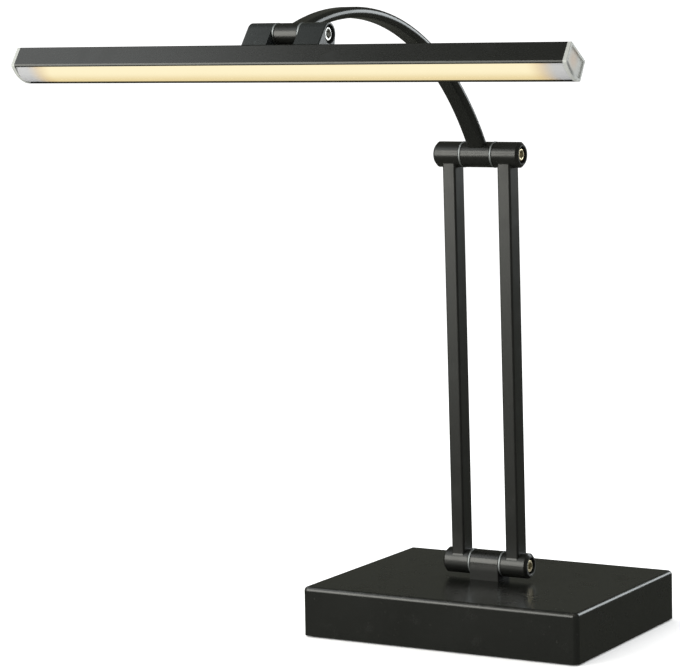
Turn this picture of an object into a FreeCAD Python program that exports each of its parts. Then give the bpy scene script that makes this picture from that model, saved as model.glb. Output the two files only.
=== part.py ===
import FreeCAD
import Part
import math
import os

# Piano lamp: a weighted base, a post of two bars, a curved arm and a long head on friction hinges.
# Sizes are in millimetres and angles in degrees. The origin lies under the middle of the base,
# +Z is up, X runs along the base's long edge, and the head hangs out over -Y.

# Base
base_width = 190.0
base_depth = 143.7
base_height = 31.2
base_corner_radius = 3.2
base_edge_radius = 2.8
base_wall = 1.6
felt_thickness = 1.0
felt_margin = 3.0
plate_thickness = 1.5
plate_clearance = 0.3
boss_diameter = 9.0
boss_gap = 1.0
weight_thickness = 13.0
weight_clearance = 1.2
tap_clearance = 0.03

# Screws: shank diameter, head diameter and height of a domed head; countersunk heads are 90 degree cones
small_screw = (3.0, 5.6, 1.7)
large_screw = (4.0, 7.6, 2.4)
small_screw_length = 9.0
weight_screw_spacing = 110.0
knuckle_screw_spacing = 12.0
knuckle_screw_bite = 6.0

# Post hinges, where an outer barrel turns on each side of a centre piece
knuckle_diameter = 16.0
knuckle_gap = 2.1
centre_length = 20.0
outer_length = 18.1
end_chamfer = 1.7
washer_thickness = 1.3
washer_proud = 0.2
axial_play = 0.05
barrel_edge = 0.3
block_edge_radius = 0.4

# Pivot bolts, one size in all three hinges
bolt_diameter = 5.0
bolt_running_clearance = 0.08
bolt_head_diameter = 8.0
bolt_head_height = 3.0
bolt_head_setback = 0.9
bolt_socket_width = 4.0
bolt_socket_depth = 1.8
recess_clearance = 1.0
recess_chamfer = 0.4
nut_width = 8.0
nut_face_diameter = 7.7
nut_thickness = 3.2

# Post bars
post_length = 258.1
post_lean = 1.15
bar_spacing = 38.0
bar_width = 8.9
bar_depth = 12.4
bar_corner_radius = 1.2
bar_wall = 1.2
bar_seat = 4.2

# Welds round the foot of a tube
weld_leg = 0.9
weld_drop = 0.9
weld_rise = 1.2
joint_clearance = 0.04

# Arm, an arc from the post's upper hinge to the head's hinge
arm_reach = 237.5
arm_rise = 19.2
arm_radius = 188.0
arm_width = 12.7
arm_thickness = 6.35
arm_corner_radius = 3.0
arm_wall = 1.2
arm_foot_seat = 4.4
arm_tip_seat = 3.9

# Head hinge
tip_diameter = 12.7
tip_length = 14.6
lug_length = 16.0
lug_nose_radius = 6.5
lug_screw_offset = 4.0
lug_screw_bite = 5.2
lug_edge_radius = 0.6

# Head, an extruded channel whose mouth is closed by a curved diffuser
head_length = 347.2
head_tilt = 33.2
head_drop = 11.15
head_setback = 1.75
channel_back = 19.5
channel_mouth = 20.3
channel_depth = 11.8
channel_wall = 1.5
channel_corner_radius = 0.9
channel_mouth_radius = 0.5
lip_height = 0.9
lip_slant = 0.55
lip_edge_radius = 0.25
rib_reach = 1.6
rib_thickness = 1.1
rib_depth = 3.4
snap_depth = 9.0
snap_height = 1.4
snap_reach = 0.6
diffuser_bulge = 3.1
diffuser_radius = 13.7
diffuser_wall = 1.4
diffuser_clearance = 0.1
snap_play = 0.15

# Light source
strip_thickness = 1.2
strip_clearance = 0.1
chip_count = 24
chip_row_length = 300.0
chip_length = 3.5
chip_width = 2.8
chip_height = 0.8

# End caps
cap_thickness = 2.2
cap_rim = 1.6
cap_recess = 0.7
cap_edge_radius = 0.35
cap_tongue = 4.0
cap_clearance = 0.15

# Rear face: power socket and rocker switch
socket_from_end = 37.0
switch_from_end = 37.0
rear_height = 21.6
socket_bore = 5.6
socket_thread = 8.0
socket_flange = 11.0
socket_flange_thickness = 1.8
socket_depth = 13.0
socket_bore_depth = 9.5
socket_lead_in = 0.4
socket_pin = 2.1
socket_nut_thickness = 2.0
panel_clearance = 0.1
bezel_length = 15.2
bezel_height = 10.4
bezel_thickness = 1.5
switch_length = 13.4
switch_height = 8.4
switch_depth = 11.0
rocker_radius = 5.6
rocker_width = 6.2
rocker_clearance = 0.2
rocker_pivot_depth = 1.2
rocker_pin_diameter = 1.6
rocker_pin_clearance = 0.08
rocker_throw = 8.0
rocker_top_angle = 30.0
rocker_foot_angle = 35.0
rocker_waist = 2.3

# Driver board, on short pillars over the weight
board_length = 56.0
board_width = 30.0
board_thickness = 1.6
board_y = 34.0
pillar_height = 4.0
pillar_diameter = 5.5
pillar_inset = 4.0

X_AXIS = FreeCAD.Vector(1, 0, 0)
Z_AXIS = FreeCAD.Vector(0, 0, 1)
ORIGIN = FreeCAD.Vector(0, 0, 0)

# Levels and places worked out from the sizes above
rim_z = felt_thickness
plate_top = rim_z + plate_thickness
weight_top = plate_top + weight_thickness
base_top = rim_z + base_height
ceiling_z = base_top - base_wall
rear_y = base_depth / 2
socket_x = -base_width / 2 + socket_from_end
switch_x = base_width / 2 - switch_from_end
lower_axis_z = base_top + knuckle_gap + knuckle_diameter / 2
upper_axis_y = -post_length * math.sin(math.radians(post_lean))
upper_axis_z = lower_axis_z + post_length * math.cos(math.radians(post_lean))
head_axis_y = upper_axis_y - arm_reach * math.cos(math.radians(arm_rise))
head_axis_z = upper_axis_z + arm_reach * math.sin(math.radians(arm_rise))
outer_start = centre_length / 2 + washer_thickness + 2 * axial_play
outer_end = outer_start + outer_length
lug_start = tip_length / 2 + washer_thickness + 2 * axial_play
lug_end = lug_start + lug_length
bolt_bore = bolt_diameter + 2 * bolt_running_clearance
bolt_hole = bolt_diameter + 2 * tap_clearance
recess_diameter = bolt_head_diameter + 2 * recess_clearance
head_recess_depth = bolt_head_height + bolt_head_setback
nut_recess_depth = nut_thickness + bolt_head_setback
boss_inset = base_wall + boss_gap + boss_diameter / 2
switch_z = rear_height
rocker_pivot_y = rear_y - rocker_pivot_depth


def vector(x, y, z):
    return FreeCAD.Vector(x, y, z)


def x_cylinder(diameter, x_from, x_to, y=0.0, z=0.0):
    """Round bar along X between two stations."""
    return Part.makeCylinder(diameter / 2, x_to - x_from, vector(x_from, y, z), X_AXIS)


def y_cylinder(diameter, x, z, y_from, y_to):
    """Round bar along Y between two stations."""
    return Part.makeCylinder(diameter / 2, y_to - y_from, vector(x, y_from, z), vector(0, 1, 0))


def z_cylinder(diameter, x, y, z_from, z_to):
    """Upright round bar between two heights."""
    return Part.makeCylinder(diameter / 2, z_to - z_from, vector(x, y, z_from), Z_AXIS)


def block(x_from, x_to, y_from, y_to, z_from, z_to):
    """Rectangular block between two corners."""
    return Part.makeBox(x_to - x_from, y_to - y_from, z_to - z_from, vector(x_from, y_from, z_from))


def rounded_rectangle(width, depth, radius, z=0.0):
    """Wire of a rectangle with round corners, centred on the Z axis at height z."""
    half_w = width / 2
    half_d = depth / 2
    radius = min(radius, half_w - 0.01, half_d - 0.01)
    edges = []
    for quarter in range(4):
        sign_x = 1 if quarter in (0, 3) else -1
        sign_y = 1 if quarter in (0, 1) else -1
        centre = vector(sign_x * (half_w - radius), sign_y * (half_d - radius), z)
        turn = math.radians(90 * quarter)
        points = []
        for angle in (turn, turn + math.pi / 4, turn + math.pi / 2):
            points.append(centre + vector(radius * math.cos(angle), radius * math.sin(angle), 0))
        edges.append(Part.Arc(*points).toShape())
    corners = []
    for index, edge in enumerate(edges):
        corners.append(edge)
        start = edge.Vertexes[-1].Point
        end = edges[(index + 1) % 4].Vertexes[0].Point
        corners.append(Part.LineSegment(start, end).toShape())
    return Part.Wire(corners)


def rounded_slab(width, depth, radius, z_from, z_to):
    """Plate with round upright corners, centred on the Z axis."""
    face = Part.Face(rounded_rectangle(width, depth, radius, z_from))
    return face.extrude(vector(0, 0, z_to - z_from))


def hexagon_bar(across_flats, x_from, x_to, y=0.0, z=0.0):
    """Six-sided bar along X."""
    reach = across_flats / 2 / math.cos(math.pi / 6)
    points = []
    for corner in range(7):
        angle = math.pi / 3 * corner
        points.append(vector(x_from, y + reach * math.cos(angle), z + reach * math.sin(angle)))
    return Part.Face(Part.makePolygon(points)).extrude(vector(x_to - x_from, 0, 0))


def rims_at(shape, x, diameter):
    """Round edges of a diameter that lie at a station along X."""
    return [e for e in shape.Edges if abs(e.BoundBox.XMin - x) < 1e-6 and e.BoundBox.XLength < 1e-6
            and abs(e.BoundBox.YLength - diameter) < 1e-3]


def end_recess(x_face, depth):
    """Round recess for a bolt head or nut, sunk from an end face and chamfered at its mouth."""
    radius = recess_diameter / 2
    mouth = Part.makeCone(radius, radius + recess_chamfer, recess_chamfer,
                          vector(x_face - recess_chamfer, 0, 0), X_AXIS)
    return x_cylinder(recess_diameter, x_face - depth, x_face).fuse(mouth)


def group(shapes):
    """Several separate solids in one node."""
    return Part.makeCompound(shapes)


def at_four_corners(width, depth):
    """Middle points of four fastenings on a rectangle."""
    return [(sx * width / 2, sy * depth / 2) for sx in (-1, 1) for sy in (-1, 1)]


def boss_places():
    """Places of the housing's four corner bosses."""
    return at_four_corners(base_width - 2 * boss_inset, base_depth - 2 * boss_inset)


def pan_screw(screw, x, y, head_z, tip_z):
    """Screw along Z with a domed head that seats at head_z and a tip at tip_z."""
    shank, head, height = screw
    up = 1 if tip_z > head_z else -1
    low, high = sorted((head_z, tip_z))
    body = z_cylinder(shank, x, y, low, high)
    cap = Part.makeCylinder(head / 2, height, vector(x, y, head_z), vector(0, 0, -up))
    rim = [e for e in cap.Edges if abs(e.BoundBox.ZMin - (head_z - up * height)) < 1e-6
           and e.BoundBox.ZLength < 1e-6]
    cap = cap.makeFillet(height * 0.4, rim)
    return body.fuse(cap).removeSplitter()


def countersunk_screw(screw, x, y, face_z, length):
    """Screw pointing up whose conical head lies flush with a face at face_z."""
    shank, head, _ = screw
    cone = Part.makeCone(head / 2, shank / 2, (head - shank) / 2, vector(x, y, face_z), Z_AXIS)
    body = z_cylinder(shank, x, y, face_z, face_z + length)
    return cone.fuse(body).removeSplitter()


def countersunk_hole(screw, x, y, face_z, depth):
    """Hole that such a screw sits in, wider all round by the tap clearance."""
    shank, head, _ = screw
    grow = tap_clearance
    cone = Part.makeCone(head / 2 + grow, shank / 2 + grow, (head - shank) / 2, vector(x, y, face_z), Z_AXIS)
    return cone.fuse(z_cylinder(shank + 2 * grow, x, y, face_z - 0.5, face_z + depth))


def tapped_hole(screw, x, y, z_from, z_to):
    """Hole for a screw's shank, modelled smooth."""
    return z_cylinder(screw[0] + 2 * tap_clearance, x, y, z_from, z_to)


def knuckle_screw_places():
    """Places of the two screws that hold the knuckle block down."""
    return [(side * knuckle_screw_spacing / 2, 0.0) for side in (-1, 1)]


def base_housing():
    """Pressed steel cover, open below, with round edges and four corner bosses."""
    outer = rounded_slab(base_width, base_depth, base_corner_radius, rim_z, base_top)
    top_edges = [e for e in outer.Edges if abs(e.BoundBox.ZMin - base_top) < 1e-6]
    edge_radius = min(base_edge_radius, base_corner_radius - 0.3)
    outer = outer.makeFillet(edge_radius, top_edges)
    inner = rounded_slab(base_width - 2 * base_wall, base_depth - 2 * base_wall,
                         max(base_corner_radius - base_wall, 0.5), rim_z, ceiling_z)
    inner_edges = [e for e in inner.Edges if abs(e.BoundBox.ZMin - ceiling_z) < 1e-6]
    inner = inner.makeFillet(max(edge_radius - base_wall, 0.3), inner_edges)
    shell = outer.cut(inner)
    for x, y in boss_places():
        boss = z_cylinder(boss_diameter, x, y, plate_top, ceiling_z + base_wall / 2)
        shell = shell.fuse(boss)
        shell = shell.cut(tapped_hole(small_screw, x, y, plate_top, plate_top + small_screw_length + 1))
    for x, y in knuckle_screw_places():
        shell = shell.cut(tapped_hole(large_screw, x, y, ceiling_z, base_top))
    socket_hole = socket_thread + 2 * panel_clearance
    shell = shell.cut(y_cylinder(socket_hole, socket_x, rear_height, rear_y - 2 * base_wall, rear_y + 1))
    half_l = switch_length / 2 + panel_clearance
    half_h = switch_height / 2 + panel_clearance
    shell = shell.cut(block(switch_x - half_l, switch_x + half_l, rear_y - 2 * base_wall, rear_y + 1,
                            switch_z - half_h, switch_z + half_h))
    return shell.removeSplitter()


def weight_screw_places():
    """Places of the two screws that hold the weight to the bottom plate."""
    return [(side * weight_screw_spacing / 2, 0.0) for side in (-1, 1)]


def pillar_places():
    """Places of the driver board's pillars."""
    length = board_length - 2 * pillar_inset
    width = board_width - 2 * pillar_inset
    return [(x, board_y + y) for x, y in at_four_corners(length, width)]


def base_weight():
    """Cast-iron slab with its corners cut back round the bosses."""
    gap = base_wall + weight_clearance
    slab = rounded_slab(base_width - 2 * gap, base_depth - 2 * gap, base_corner_radius,
                        plate_top, weight_top)
    for x, y in boss_places():
        slab = slab.cut(z_cylinder(boss_diameter + 2 * weight_clearance, x, y, plate_top, weight_top))
        outward_x = math.copysign(base_width, x)
        outward_y = math.copysign(base_depth, y)
        low_x, high_x = sorted((x, outward_x))
        low_y, high_y = sorted((y - math.copysign(boss_diameter / 2 + weight_clearance, y), outward_y))
        slab = slab.cut(block(low_x, high_x, low_y, high_y, plate_top, weight_top))
        low_x, high_x = sorted((x - math.copysign(boss_diameter / 2 + weight_clearance, x), outward_x))
        low_y, high_y = sorted((y, outward_y))
        slab = slab.cut(block(low_x, high_x, low_y, high_y, plate_top, weight_top))
    for x, y in weight_screw_places():
        slab = slab.cut(tapped_hole(small_screw, x, y, plate_top, plate_top + small_screw_length))
    for x, y in pillar_places():
        slab = slab.cut(tapped_hole(small_screw, x, y, weight_top - 5, weight_top))
    top_edges = [e for e in slab.Edges if abs(e.BoundBox.ZMin - weight_top) < 1e-6
                 and e.BoundBox.DiagonalLength > 2 * small_screw[1]]
    return slab.makeChamfer(0.8, top_edges)


def base_plate():
    """Flat steel bottom plate, let into the housing's rim."""
    gap = base_wall + plate_clearance
    plate = rounded_slab(base_width - 2 * gap, base_depth - 2 * gap,
                         max(base_corner_radius - base_wall, 0.5), rim_z, plate_top)
    for x, y in boss_places() + weight_screw_places():
        plate = plate.cut(countersunk_hole(small_screw, x, y, rim_z, plate_thickness + 0.5))
    return plate


def felt_pad():
    """Felt sheet glued under the bottom plate."""
    return rounded_slab(base_width - 2 * felt_margin, base_depth - 2 * felt_margin,
                        base_corner_radius, 0, rim_z)


def plate_screws():
    """Four screws from below into the housing's bosses."""
    return group([countersunk_screw(small_screw, x, y, rim_z, small_screw_length)
                  for x, y in boss_places()])


def weight_screws():
    """Two screws from below into the weight."""
    return group([countersunk_screw(small_screw, x, y, rim_z, small_screw_length)
                  for x, y in weight_screw_places()])


def knuckle_block():
    """Centre piece of the lower hinge: a round-topped block that stands on the base."""
    radius = knuckle_diameter / 2
    half = centre_length / 2
    barrel = x_cylinder(knuckle_diameter, -half, half, 0, lower_axis_z)
    foot = block(-half, half, -radius, radius, base_top, lower_axis_z)
    body = barrel.fuse(foot).removeSplitter()
    end_edges = [e for e in body.Edges if e.BoundBox.XLength < 1e-6 and e.BoundBox.ZLength > 1e-6]
    body = body.makeFillet(block_edge_radius, end_edges)
    body = body.cut(x_cylinder(bolt_bore, -half, half, 0, lower_axis_z))
    for x, y in knuckle_screw_places():
        body = body.cut(tapped_hole(large_screw, x, y, base_top, base_top + knuckle_screw_bite + 0.3))
    return body


def knuckle_screws():
    """Two screws from inside the base up into the knuckle block."""
    return group([pan_screw(large_screw, x, y, ceiling_z, base_top + knuckle_screw_bite)
                  for x, y in knuckle_screw_places()])


def board_pillars():
    """Four round pillars between the weight and the driver board."""
    pillars = []
    for x, y in pillar_places():
        pillar = z_cylinder(pillar_diameter, x, y, weight_top, weight_top + pillar_height)
        pillars.append(pillar.cut(tapped_hole(small_screw, x, y, weight_top, weight_top + pillar_height)))
    return group(pillars)


def driver_board():
    """Circuit board that feeds the light source."""
    low = weight_top + pillar_height
    board = block(-board_length / 2, board_length / 2, board_y - board_width / 2,
                  board_y + board_width / 2, low, low + board_thickness)
    for x, y in pillar_places():
        board = board.cut(tapped_hole(small_screw, x, y, low, low + board_thickness))
    return board


def driver_parts():
    """Coil, two capacitors, a chip and two wire terminals on the driver board."""
    z = weight_top + pillar_height + board_thickness
    coil = block(-6, 4, board_y - 5, board_y + 5, z, z + 4.5)
    tall_edges = [e for e in coil.Edges if abs(e.BoundBox.ZLength - 4.5) < 1e-6]
    coil = coil.makeFillet(2.0, tall_edges)
    parts = [coil]
    for x in (-14.5, 11.5):
        parts.append(z_cylinder(6.3, x, board_y - 3, z, z + 5.4))
    parts.append(block(-13, -8.5, board_y + 4, board_y + 9, z, z + 1.5))
    for side in (-1, 1):
        y = board_y + side * (board_width / 2 - 4)
        parts.append(block(-4, 4, y - 3, y + 3, z, z + 5.0))
    return group(parts)


def board_screws():
    """Four screws through the board and its pillars into the weight."""
    top = weight_top + pillar_height + board_thickness
    return group([pan_screw(small_screw, x, y, top, weight_top - 4) for x, y in pillar_places()])


def power_socket():
    """Round low-voltage socket with a flange outside the rear face and a thread behind it."""
    outside = rear_y + socket_flange_thickness
    flange = y_cylinder(socket_flange, socket_x, rear_height, rear_y, outside)
    rim = [e for e in flange.Edges if abs(e.BoundBox.YMin - outside) < 1e-6]
    flange = flange.makeChamfer(0.4, rim)
    thread = y_cylinder(socket_thread, socket_x, rear_height, outside - socket_depth, rear_y + 0.5)
    body = flange.fuse(thread).removeSplitter()
    body = body.cut(y_cylinder(socket_bore, socket_x, rear_height, outside - socket_bore_depth, outside + 1))
    mouth = Part.makeCone(socket_bore / 2, socket_bore / 2 + socket_lead_in, socket_lead_in,
                          vector(socket_x, outside - socket_lead_in, rear_height), vector(0, 1, 0))
    return body.cut(mouth)


def power_socket_pin():
    """Centre contact standing in the socket's bore."""
    floor_y = rear_y + socket_flange_thickness - socket_bore_depth
    pin = y_cylinder(socket_pin, socket_x, rear_height, floor_y, rear_y)
    tip = [e for e in pin.Edges if abs(e.BoundBox.YMin - rear_y) < 1e-6]
    return pin.makeFillet(0.6, tip)


def power_socket_nut():
    """Ring nut that draws the socket's flange against the rear wall."""
    inside = rear_y - base_wall
    ring = y_cylinder(socket_flange, socket_x, rear_height, inside - socket_nut_thickness, inside)
    hole = socket_thread + 2 * tap_clearance
    return ring.cut(y_cylinder(hole, socket_x, rear_height, inside - socket_nut_thickness, inside))


def switch_frame():
    """Snap-in switch body with a bezel outside the rear face and a pocket for the rocker."""
    face_y = rear_y + bezel_thickness
    bezel = block(switch_x - bezel_length / 2, switch_x + bezel_length / 2, rear_y, face_y,
                  switch_z - bezel_height / 2, switch_z + bezel_height / 2)
    front_edges = [e for e in bezel.Edges if abs(e.BoundBox.YMin - face_y) < 1e-6]
    bezel = bezel.makeChamfer(0.5, front_edges)
    body = block(switch_x - switch_length / 2, switch_x + switch_length / 2,
                 rear_y - switch_depth, rear_y + 0.5,
                 switch_z - switch_height / 2, switch_z + switch_height / 2)
    frame = bezel.fuse(body).removeSplitter()
    half_x = rocker_radius + rocker_clearance
    half_z = rocker_width / 2 + rocker_clearance
    deepest = rocker_radius * math.sin(math.radians(rocker_foot_angle + rocker_throw))
    floor_y = rocker_pivot_y - deepest - rocker_clearance
    frame = frame.cut(block(switch_x - half_x, switch_x + half_x, floor_y, face_y + 1,
                            switch_z - half_z, switch_z + half_z))
    hole = rocker_pin_diameter + 2 * rocker_pin_clearance
    return frame.cut(z_cylinder(hole, switch_x, rocker_pivot_y, switch_z - switch_height,
                                switch_z + switch_height))


def rocker_point(angle):
    """Point on the rocker's round ends at an angle above the pivot."""
    turn = math.radians(angle)
    return vector(rocker_radius * math.cos(turn), rocker_radius * math.sin(turn), 0)


def switch_rocker():
    """Rocker with round ends and a hollowed face on two short pins, pressed at one end."""
    right_top = rocker_point(rocker_top_angle)
    right_foot = rocker_point(-rocker_foot_angle)
    left_top = rocker_point(180 - rocker_top_angle)
    left_foot = rocker_point(180 + rocker_foot_angle)
    waist = vector(0, rocker_waist, 0)
    edges = [
        Part.Arc(right_top, rocker_point(0), right_foot).toShape(),
        Part.LineSegment(right_foot, left_foot).toShape(),
        Part.Arc(left_foot, rocker_point(180), left_top).toShape(),
        Part.LineSegment(left_top, waist).toShape(),
        Part.LineSegment(waist, right_top).toShape(),
    ]
    profile = Part.Face(Part.Wire(edges))
    profile.translate(vector(0, 0, -rocker_width / 2))
    rocker = profile.extrude(vector(0, 0, rocker_width))
    pin_reach = switch_height / 2 - rocker_clearance / 2
    rocker = rocker.fuse(z_cylinder(rocker_pin_diameter, 0, 0, -pin_reach, pin_reach)).removeSplitter()
    rocker.rotate(ORIGIN, Z_AXIS, rocker_throw)
    rocker.translate(vector(switch_x, rocker_pivot_y, switch_z))
    return rocker


def on_post(shape):
    """Move a shape from the post's own frame, upright on the lower axis, to its lean."""
    shape.rotate(ORIGIN, X_AXIS, post_lean)
    shape.translate(vector(0, 0, lower_axis_z))
    return shape


def outer_barrel(side, z, bar_up):
    """Outer barrel of a post hinge: chamfered end, bolt hole, end recess and a seat for its bar."""
    radius = knuckle_diameter / 2
    straight = outer_length - end_chamfer
    body = x_cylinder(knuckle_diameter, outer_start, outer_start + straight)
    body = body.fuse(Part.makeCone(radius, radius - end_chamfer, end_chamfer,
                                   vector(outer_start + straight, 0, 0), X_AXIS))
    body = body.makeChamfer(barrel_edge, rims_at(body, outer_start, knuckle_diameter))
    weld_low = bar_seat - weld_drop
    weld_high = bar_seat + weld_rise
    foot = rounded_rectangle(bar_width + 2 * weld_leg, bar_depth + 2 * weld_leg,
                             bar_corner_radius + weld_leg, weld_low)
    throat = rounded_rectangle(bar_width + 2 * joint_clearance + 0.2, bar_depth + 2 * joint_clearance + 0.2,
                               bar_corner_radius, weld_high)
    weld = Part.makeLoft([foot, throat], True, True)
    weld.translate(vector(bar_spacing / 2, 0, 0))
    body = body.fuse(weld).removeSplitter()
    seat = rounded_slab(bar_width + 2 * joint_clearance, bar_depth + 2 * joint_clearance,
                        bar_corner_radius, bar_seat, knuckle_diameter)
    seat.translate(vector(bar_spacing / 2, 0, 0))
    body = body.cut(seat)
    body = body.cut(x_cylinder(bolt_hole, outer_start, outer_end))
    depth = head_recess_depth if side > 0 else nut_recess_depth
    body = body.cut(end_recess(outer_end, depth))
    if not bar_up:
        body.rotate(ORIGIN, X_AXIS, 180)
    if side < 0:
        body = body.mirror(ORIGIN, X_AXIS)
    body.translate(vector(0, 0, z))
    return on_post(body)


def post_bar(side):
    """Rectangular tube from the lower to the upper barrel."""
    low = bar_seat
    high = post_length - bar_seat
    tube = rounded_slab(bar_width, bar_depth, bar_corner_radius, low, high)
    inner_radius = max(bar_corner_radius - bar_wall, 0.3)
    tube = tube.cut(rounded_slab(bar_width - 2 * bar_wall, bar_depth - 2 * bar_wall, inner_radius, low, high))
    tube.translate(vector(side * bar_spacing / 2, 0, 0))
    return on_post(tube)


def pivot_bolt(half_span):
    """Bolt through a hinge whose outer faces lie half_span from the middle, with a socket head."""
    head_face = half_span - bolt_head_setback
    head_seat = half_span - head_recess_depth
    tip = -half_span + bolt_head_setback
    shank = x_cylinder(bolt_diameter, tip, head_seat)
    head = x_cylinder(bolt_head_diameter, head_seat, head_face)
    rim = [e for e in head.Edges if abs(e.BoundBox.XMin - head_face) < 1e-6]
    head = head.makeChamfer(0.4, rim)
    socket = hexagon_bar(bolt_socket_width, head_face - bolt_socket_depth, head_face)
    return shank.fuse(head).removeSplitter().cut(socket)


def pivot_nut(half_span):
    """Nut on the bolt's far end, in its recess, with its corners turned off at 30 degrees."""
    seat = -half_span + nut_recess_depth
    outside = seat - nut_thickness
    corner = nut_width / 2 / math.cos(math.pi / 6)
    face = min(nut_face_diameter / 2, corner - 0.05)
    slope = (corner - face) * math.tan(math.pi / 6)
    turned = x_cylinder(2 * corner, outside + slope, seat - slope)
    turned = turned.fuse(Part.makeCone(face, corner, slope, vector(outside, 0, 0), X_AXIS))
    turned = turned.fuse(Part.makeCone(corner, face, slope, vector(seat - slope, 0, 0), X_AXIS))
    nut = hexagon_bar(nut_width, outside, seat).common(turned)
    return nut.cut(x_cylinder(bolt_hole, outside, seat))


def pivot_washers(diameter, start):
    """Two bright friction washers, one on each side of a hinge's centre piece."""
    rings = []
    for side in (-1, 1):
        near = start + axial_play
        low, high = sorted((side * near, side * (near + washer_thickness)))
        ring = x_cylinder(diameter + 2 * washer_proud, low, high)
        rings.append(ring.cut(x_cylinder(bolt_hole, low, high)))
    return group(rings)


def lifted(shape, z):
    """Put a hinge's hardware on one of the post's axes."""
    shape.translate(vector(0, 0, z))
    return on_post(shape)


def arc_centre():
    """Centre of the arm's arc, counted from the upper axis, in the plane of the arm."""
    rise = math.radians(arm_rise)
    middle_y = -arm_reach / 2 * math.cos(rise)
    middle_z = arm_reach / 2 * math.sin(rise)
    sink = math.sqrt(arm_radius ** 2 - (arm_reach / 2) ** 2)
    return middle_y - sink * math.sin(rise), middle_z - sink * math.cos(rise)


def arc_angle(y, z):
    """Angle of a point on the arm's arc, from upright and growing towards the head."""
    centre_y, centre_z = arc_centre()
    return math.degrees(math.atan2(-(y - centre_y), z - centre_z))


def arc_sweep(section, start_angle, end_angle):
    """Carry an upright section along the arm's arc between two angles, about the upper axis."""
    centre_y, centre_z = arc_centre()
    face = Part.Face(section)
    face.rotate(ORIGIN, X_AXIS, 90)
    face.translate(vector(0, 0, arm_radius))
    solid = face.revolve(ORIGIN, X_AXIS, end_angle - start_angle)
    solid.rotate(ORIGIN, X_AXIS, start_angle)
    solid.translate(vector(0, centre_y, centre_z))
    return solid


def arm_angles():
    """Angles of the upper axis and of the head axis on the arm's arc."""
    rise = math.radians(arm_rise)
    foot = arc_angle(0, 0)
    tip = arc_angle(-arm_reach * math.cos(rise), arm_reach * math.sin(rise))
    return foot, tip


def arc_step(length):
    """Angle that a length takes up on the arm's arc."""
    return math.degrees(length / arm_radius)


def on_arm(shape):
    """Move a shape from the upper axis's own frame to its place."""
    shape.translate(vector(0, upper_axis_y, upper_axis_z))
    return shape


def arm_section(grow):
    """Outline of the arm's tube, wider all round by grow."""
    radius = arm_corner_radius + min(grow, 0.0)
    return rounded_rectangle(arm_width + 2 * grow, arm_thickness + 2 * grow, max(radius, 0.4))


def arm_tube():
    """Flat oval tube bent to the arm's arc."""
    foot, tip = arm_angles()
    start = foot + arc_step(arm_foot_seat)
    end = tip - arc_step(arm_tip_seat)
    tube = arc_sweep(arm_section(0.0), start, end)
    bore = arc_sweep(arm_section(-arm_wall), start, end)
    return on_arm(tube.cut(bore))


def arm_weld(angle, seat, towards):
    """Weld bead round the arm where it meets a barrel, tapering away from the barrel."""
    centre_y, centre_z = arc_centre()
    wires = []
    for reach, leg in ((seat - weld_drop, weld_leg), (seat + weld_rise, joint_clearance + 0.1)):
        wire = rounded_rectangle(arm_width + 2 * leg, arm_thickness + 2 * leg, arm_corner_radius)
        wire.rotate(ORIGIN, X_AXIS, 90)
        wire.translate(vector(0, 0, arm_radius))
        wire.rotate(ORIGIN, X_AXIS, angle + towards * arc_step(reach))
        wire.translate(vector(0, centre_y, centre_z))
        wires.append(wire)
    return Part.makeLoft(wires, True, True)


def arm_barrel(diameter, length, angle, seat, towards, y, z):
    """Barrel at one end of the arm, with a seat for the tube and a bore that runs on the bolt."""
    half = length / 2
    barrel = x_cylinder(diameter, -half, half, y, z)
    barrel = barrel.makeChamfer(barrel_edge, rims_at(barrel, -half, diameter) + rims_at(barrel, half, diameter))
    barrel = barrel.fuse(arm_weld(angle, seat, towards)).removeSplitter()
    start = angle + towards * arc_step(seat)
    end = angle + towards * arc_step(diameter)
    low, high = sorted((start, end))
    barrel = barrel.cut(arc_sweep(arm_section(joint_clearance), low, high))
    return on_arm(barrel.cut(x_cylinder(bolt_bore, -half, half, y, z)))


def arm_foot_barrel():
    """Centre barrel of the upper hinge, at the foot of the arm."""
    foot, _ = arm_angles()
    return arm_barrel(knuckle_diameter, centre_length, foot, arm_foot_seat, 1, 0, 0)


def arm_tip_barrel():
    """Centre barrel of the head hinge, at the tip of the arm."""
    _, tip = arm_angles()
    y = head_axis_y - upper_axis_y
    z = head_axis_z - upper_axis_z
    return arm_barrel(tip_diameter, tip_length, tip, arm_tip_seat, -1, y, z)


def on_head(shape):
    """Move a shape from the head's own frame, on the head axis with the light down, to its tilt."""
    shape.rotate(ORIGIN, X_AXIS, -head_tilt)
    shape.translate(vector(0, head_axis_y, head_axis_z))
    return shape


def head_point(across, depth, x=0.0):
    """Point of the head's section: across from its middle, and deep from its back panel."""
    return vector(x, head_setback + across, -(head_drop + depth))


def tangent_touch(across):
    """Point where a line from an edge of the back panel touches the lug's round nose."""
    edge = head_point(across, 0)
    distance = math.hypot(edge.y, edge.z)
    bearing = math.atan2(edge.z, edge.y)
    swing = math.acos(lug_nose_radius / distance)
    side = 1 if across > 0 else -1
    angle = bearing + side * swing
    return vector(0, lug_nose_radius * math.cos(angle), lug_nose_radius * math.sin(angle))


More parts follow.
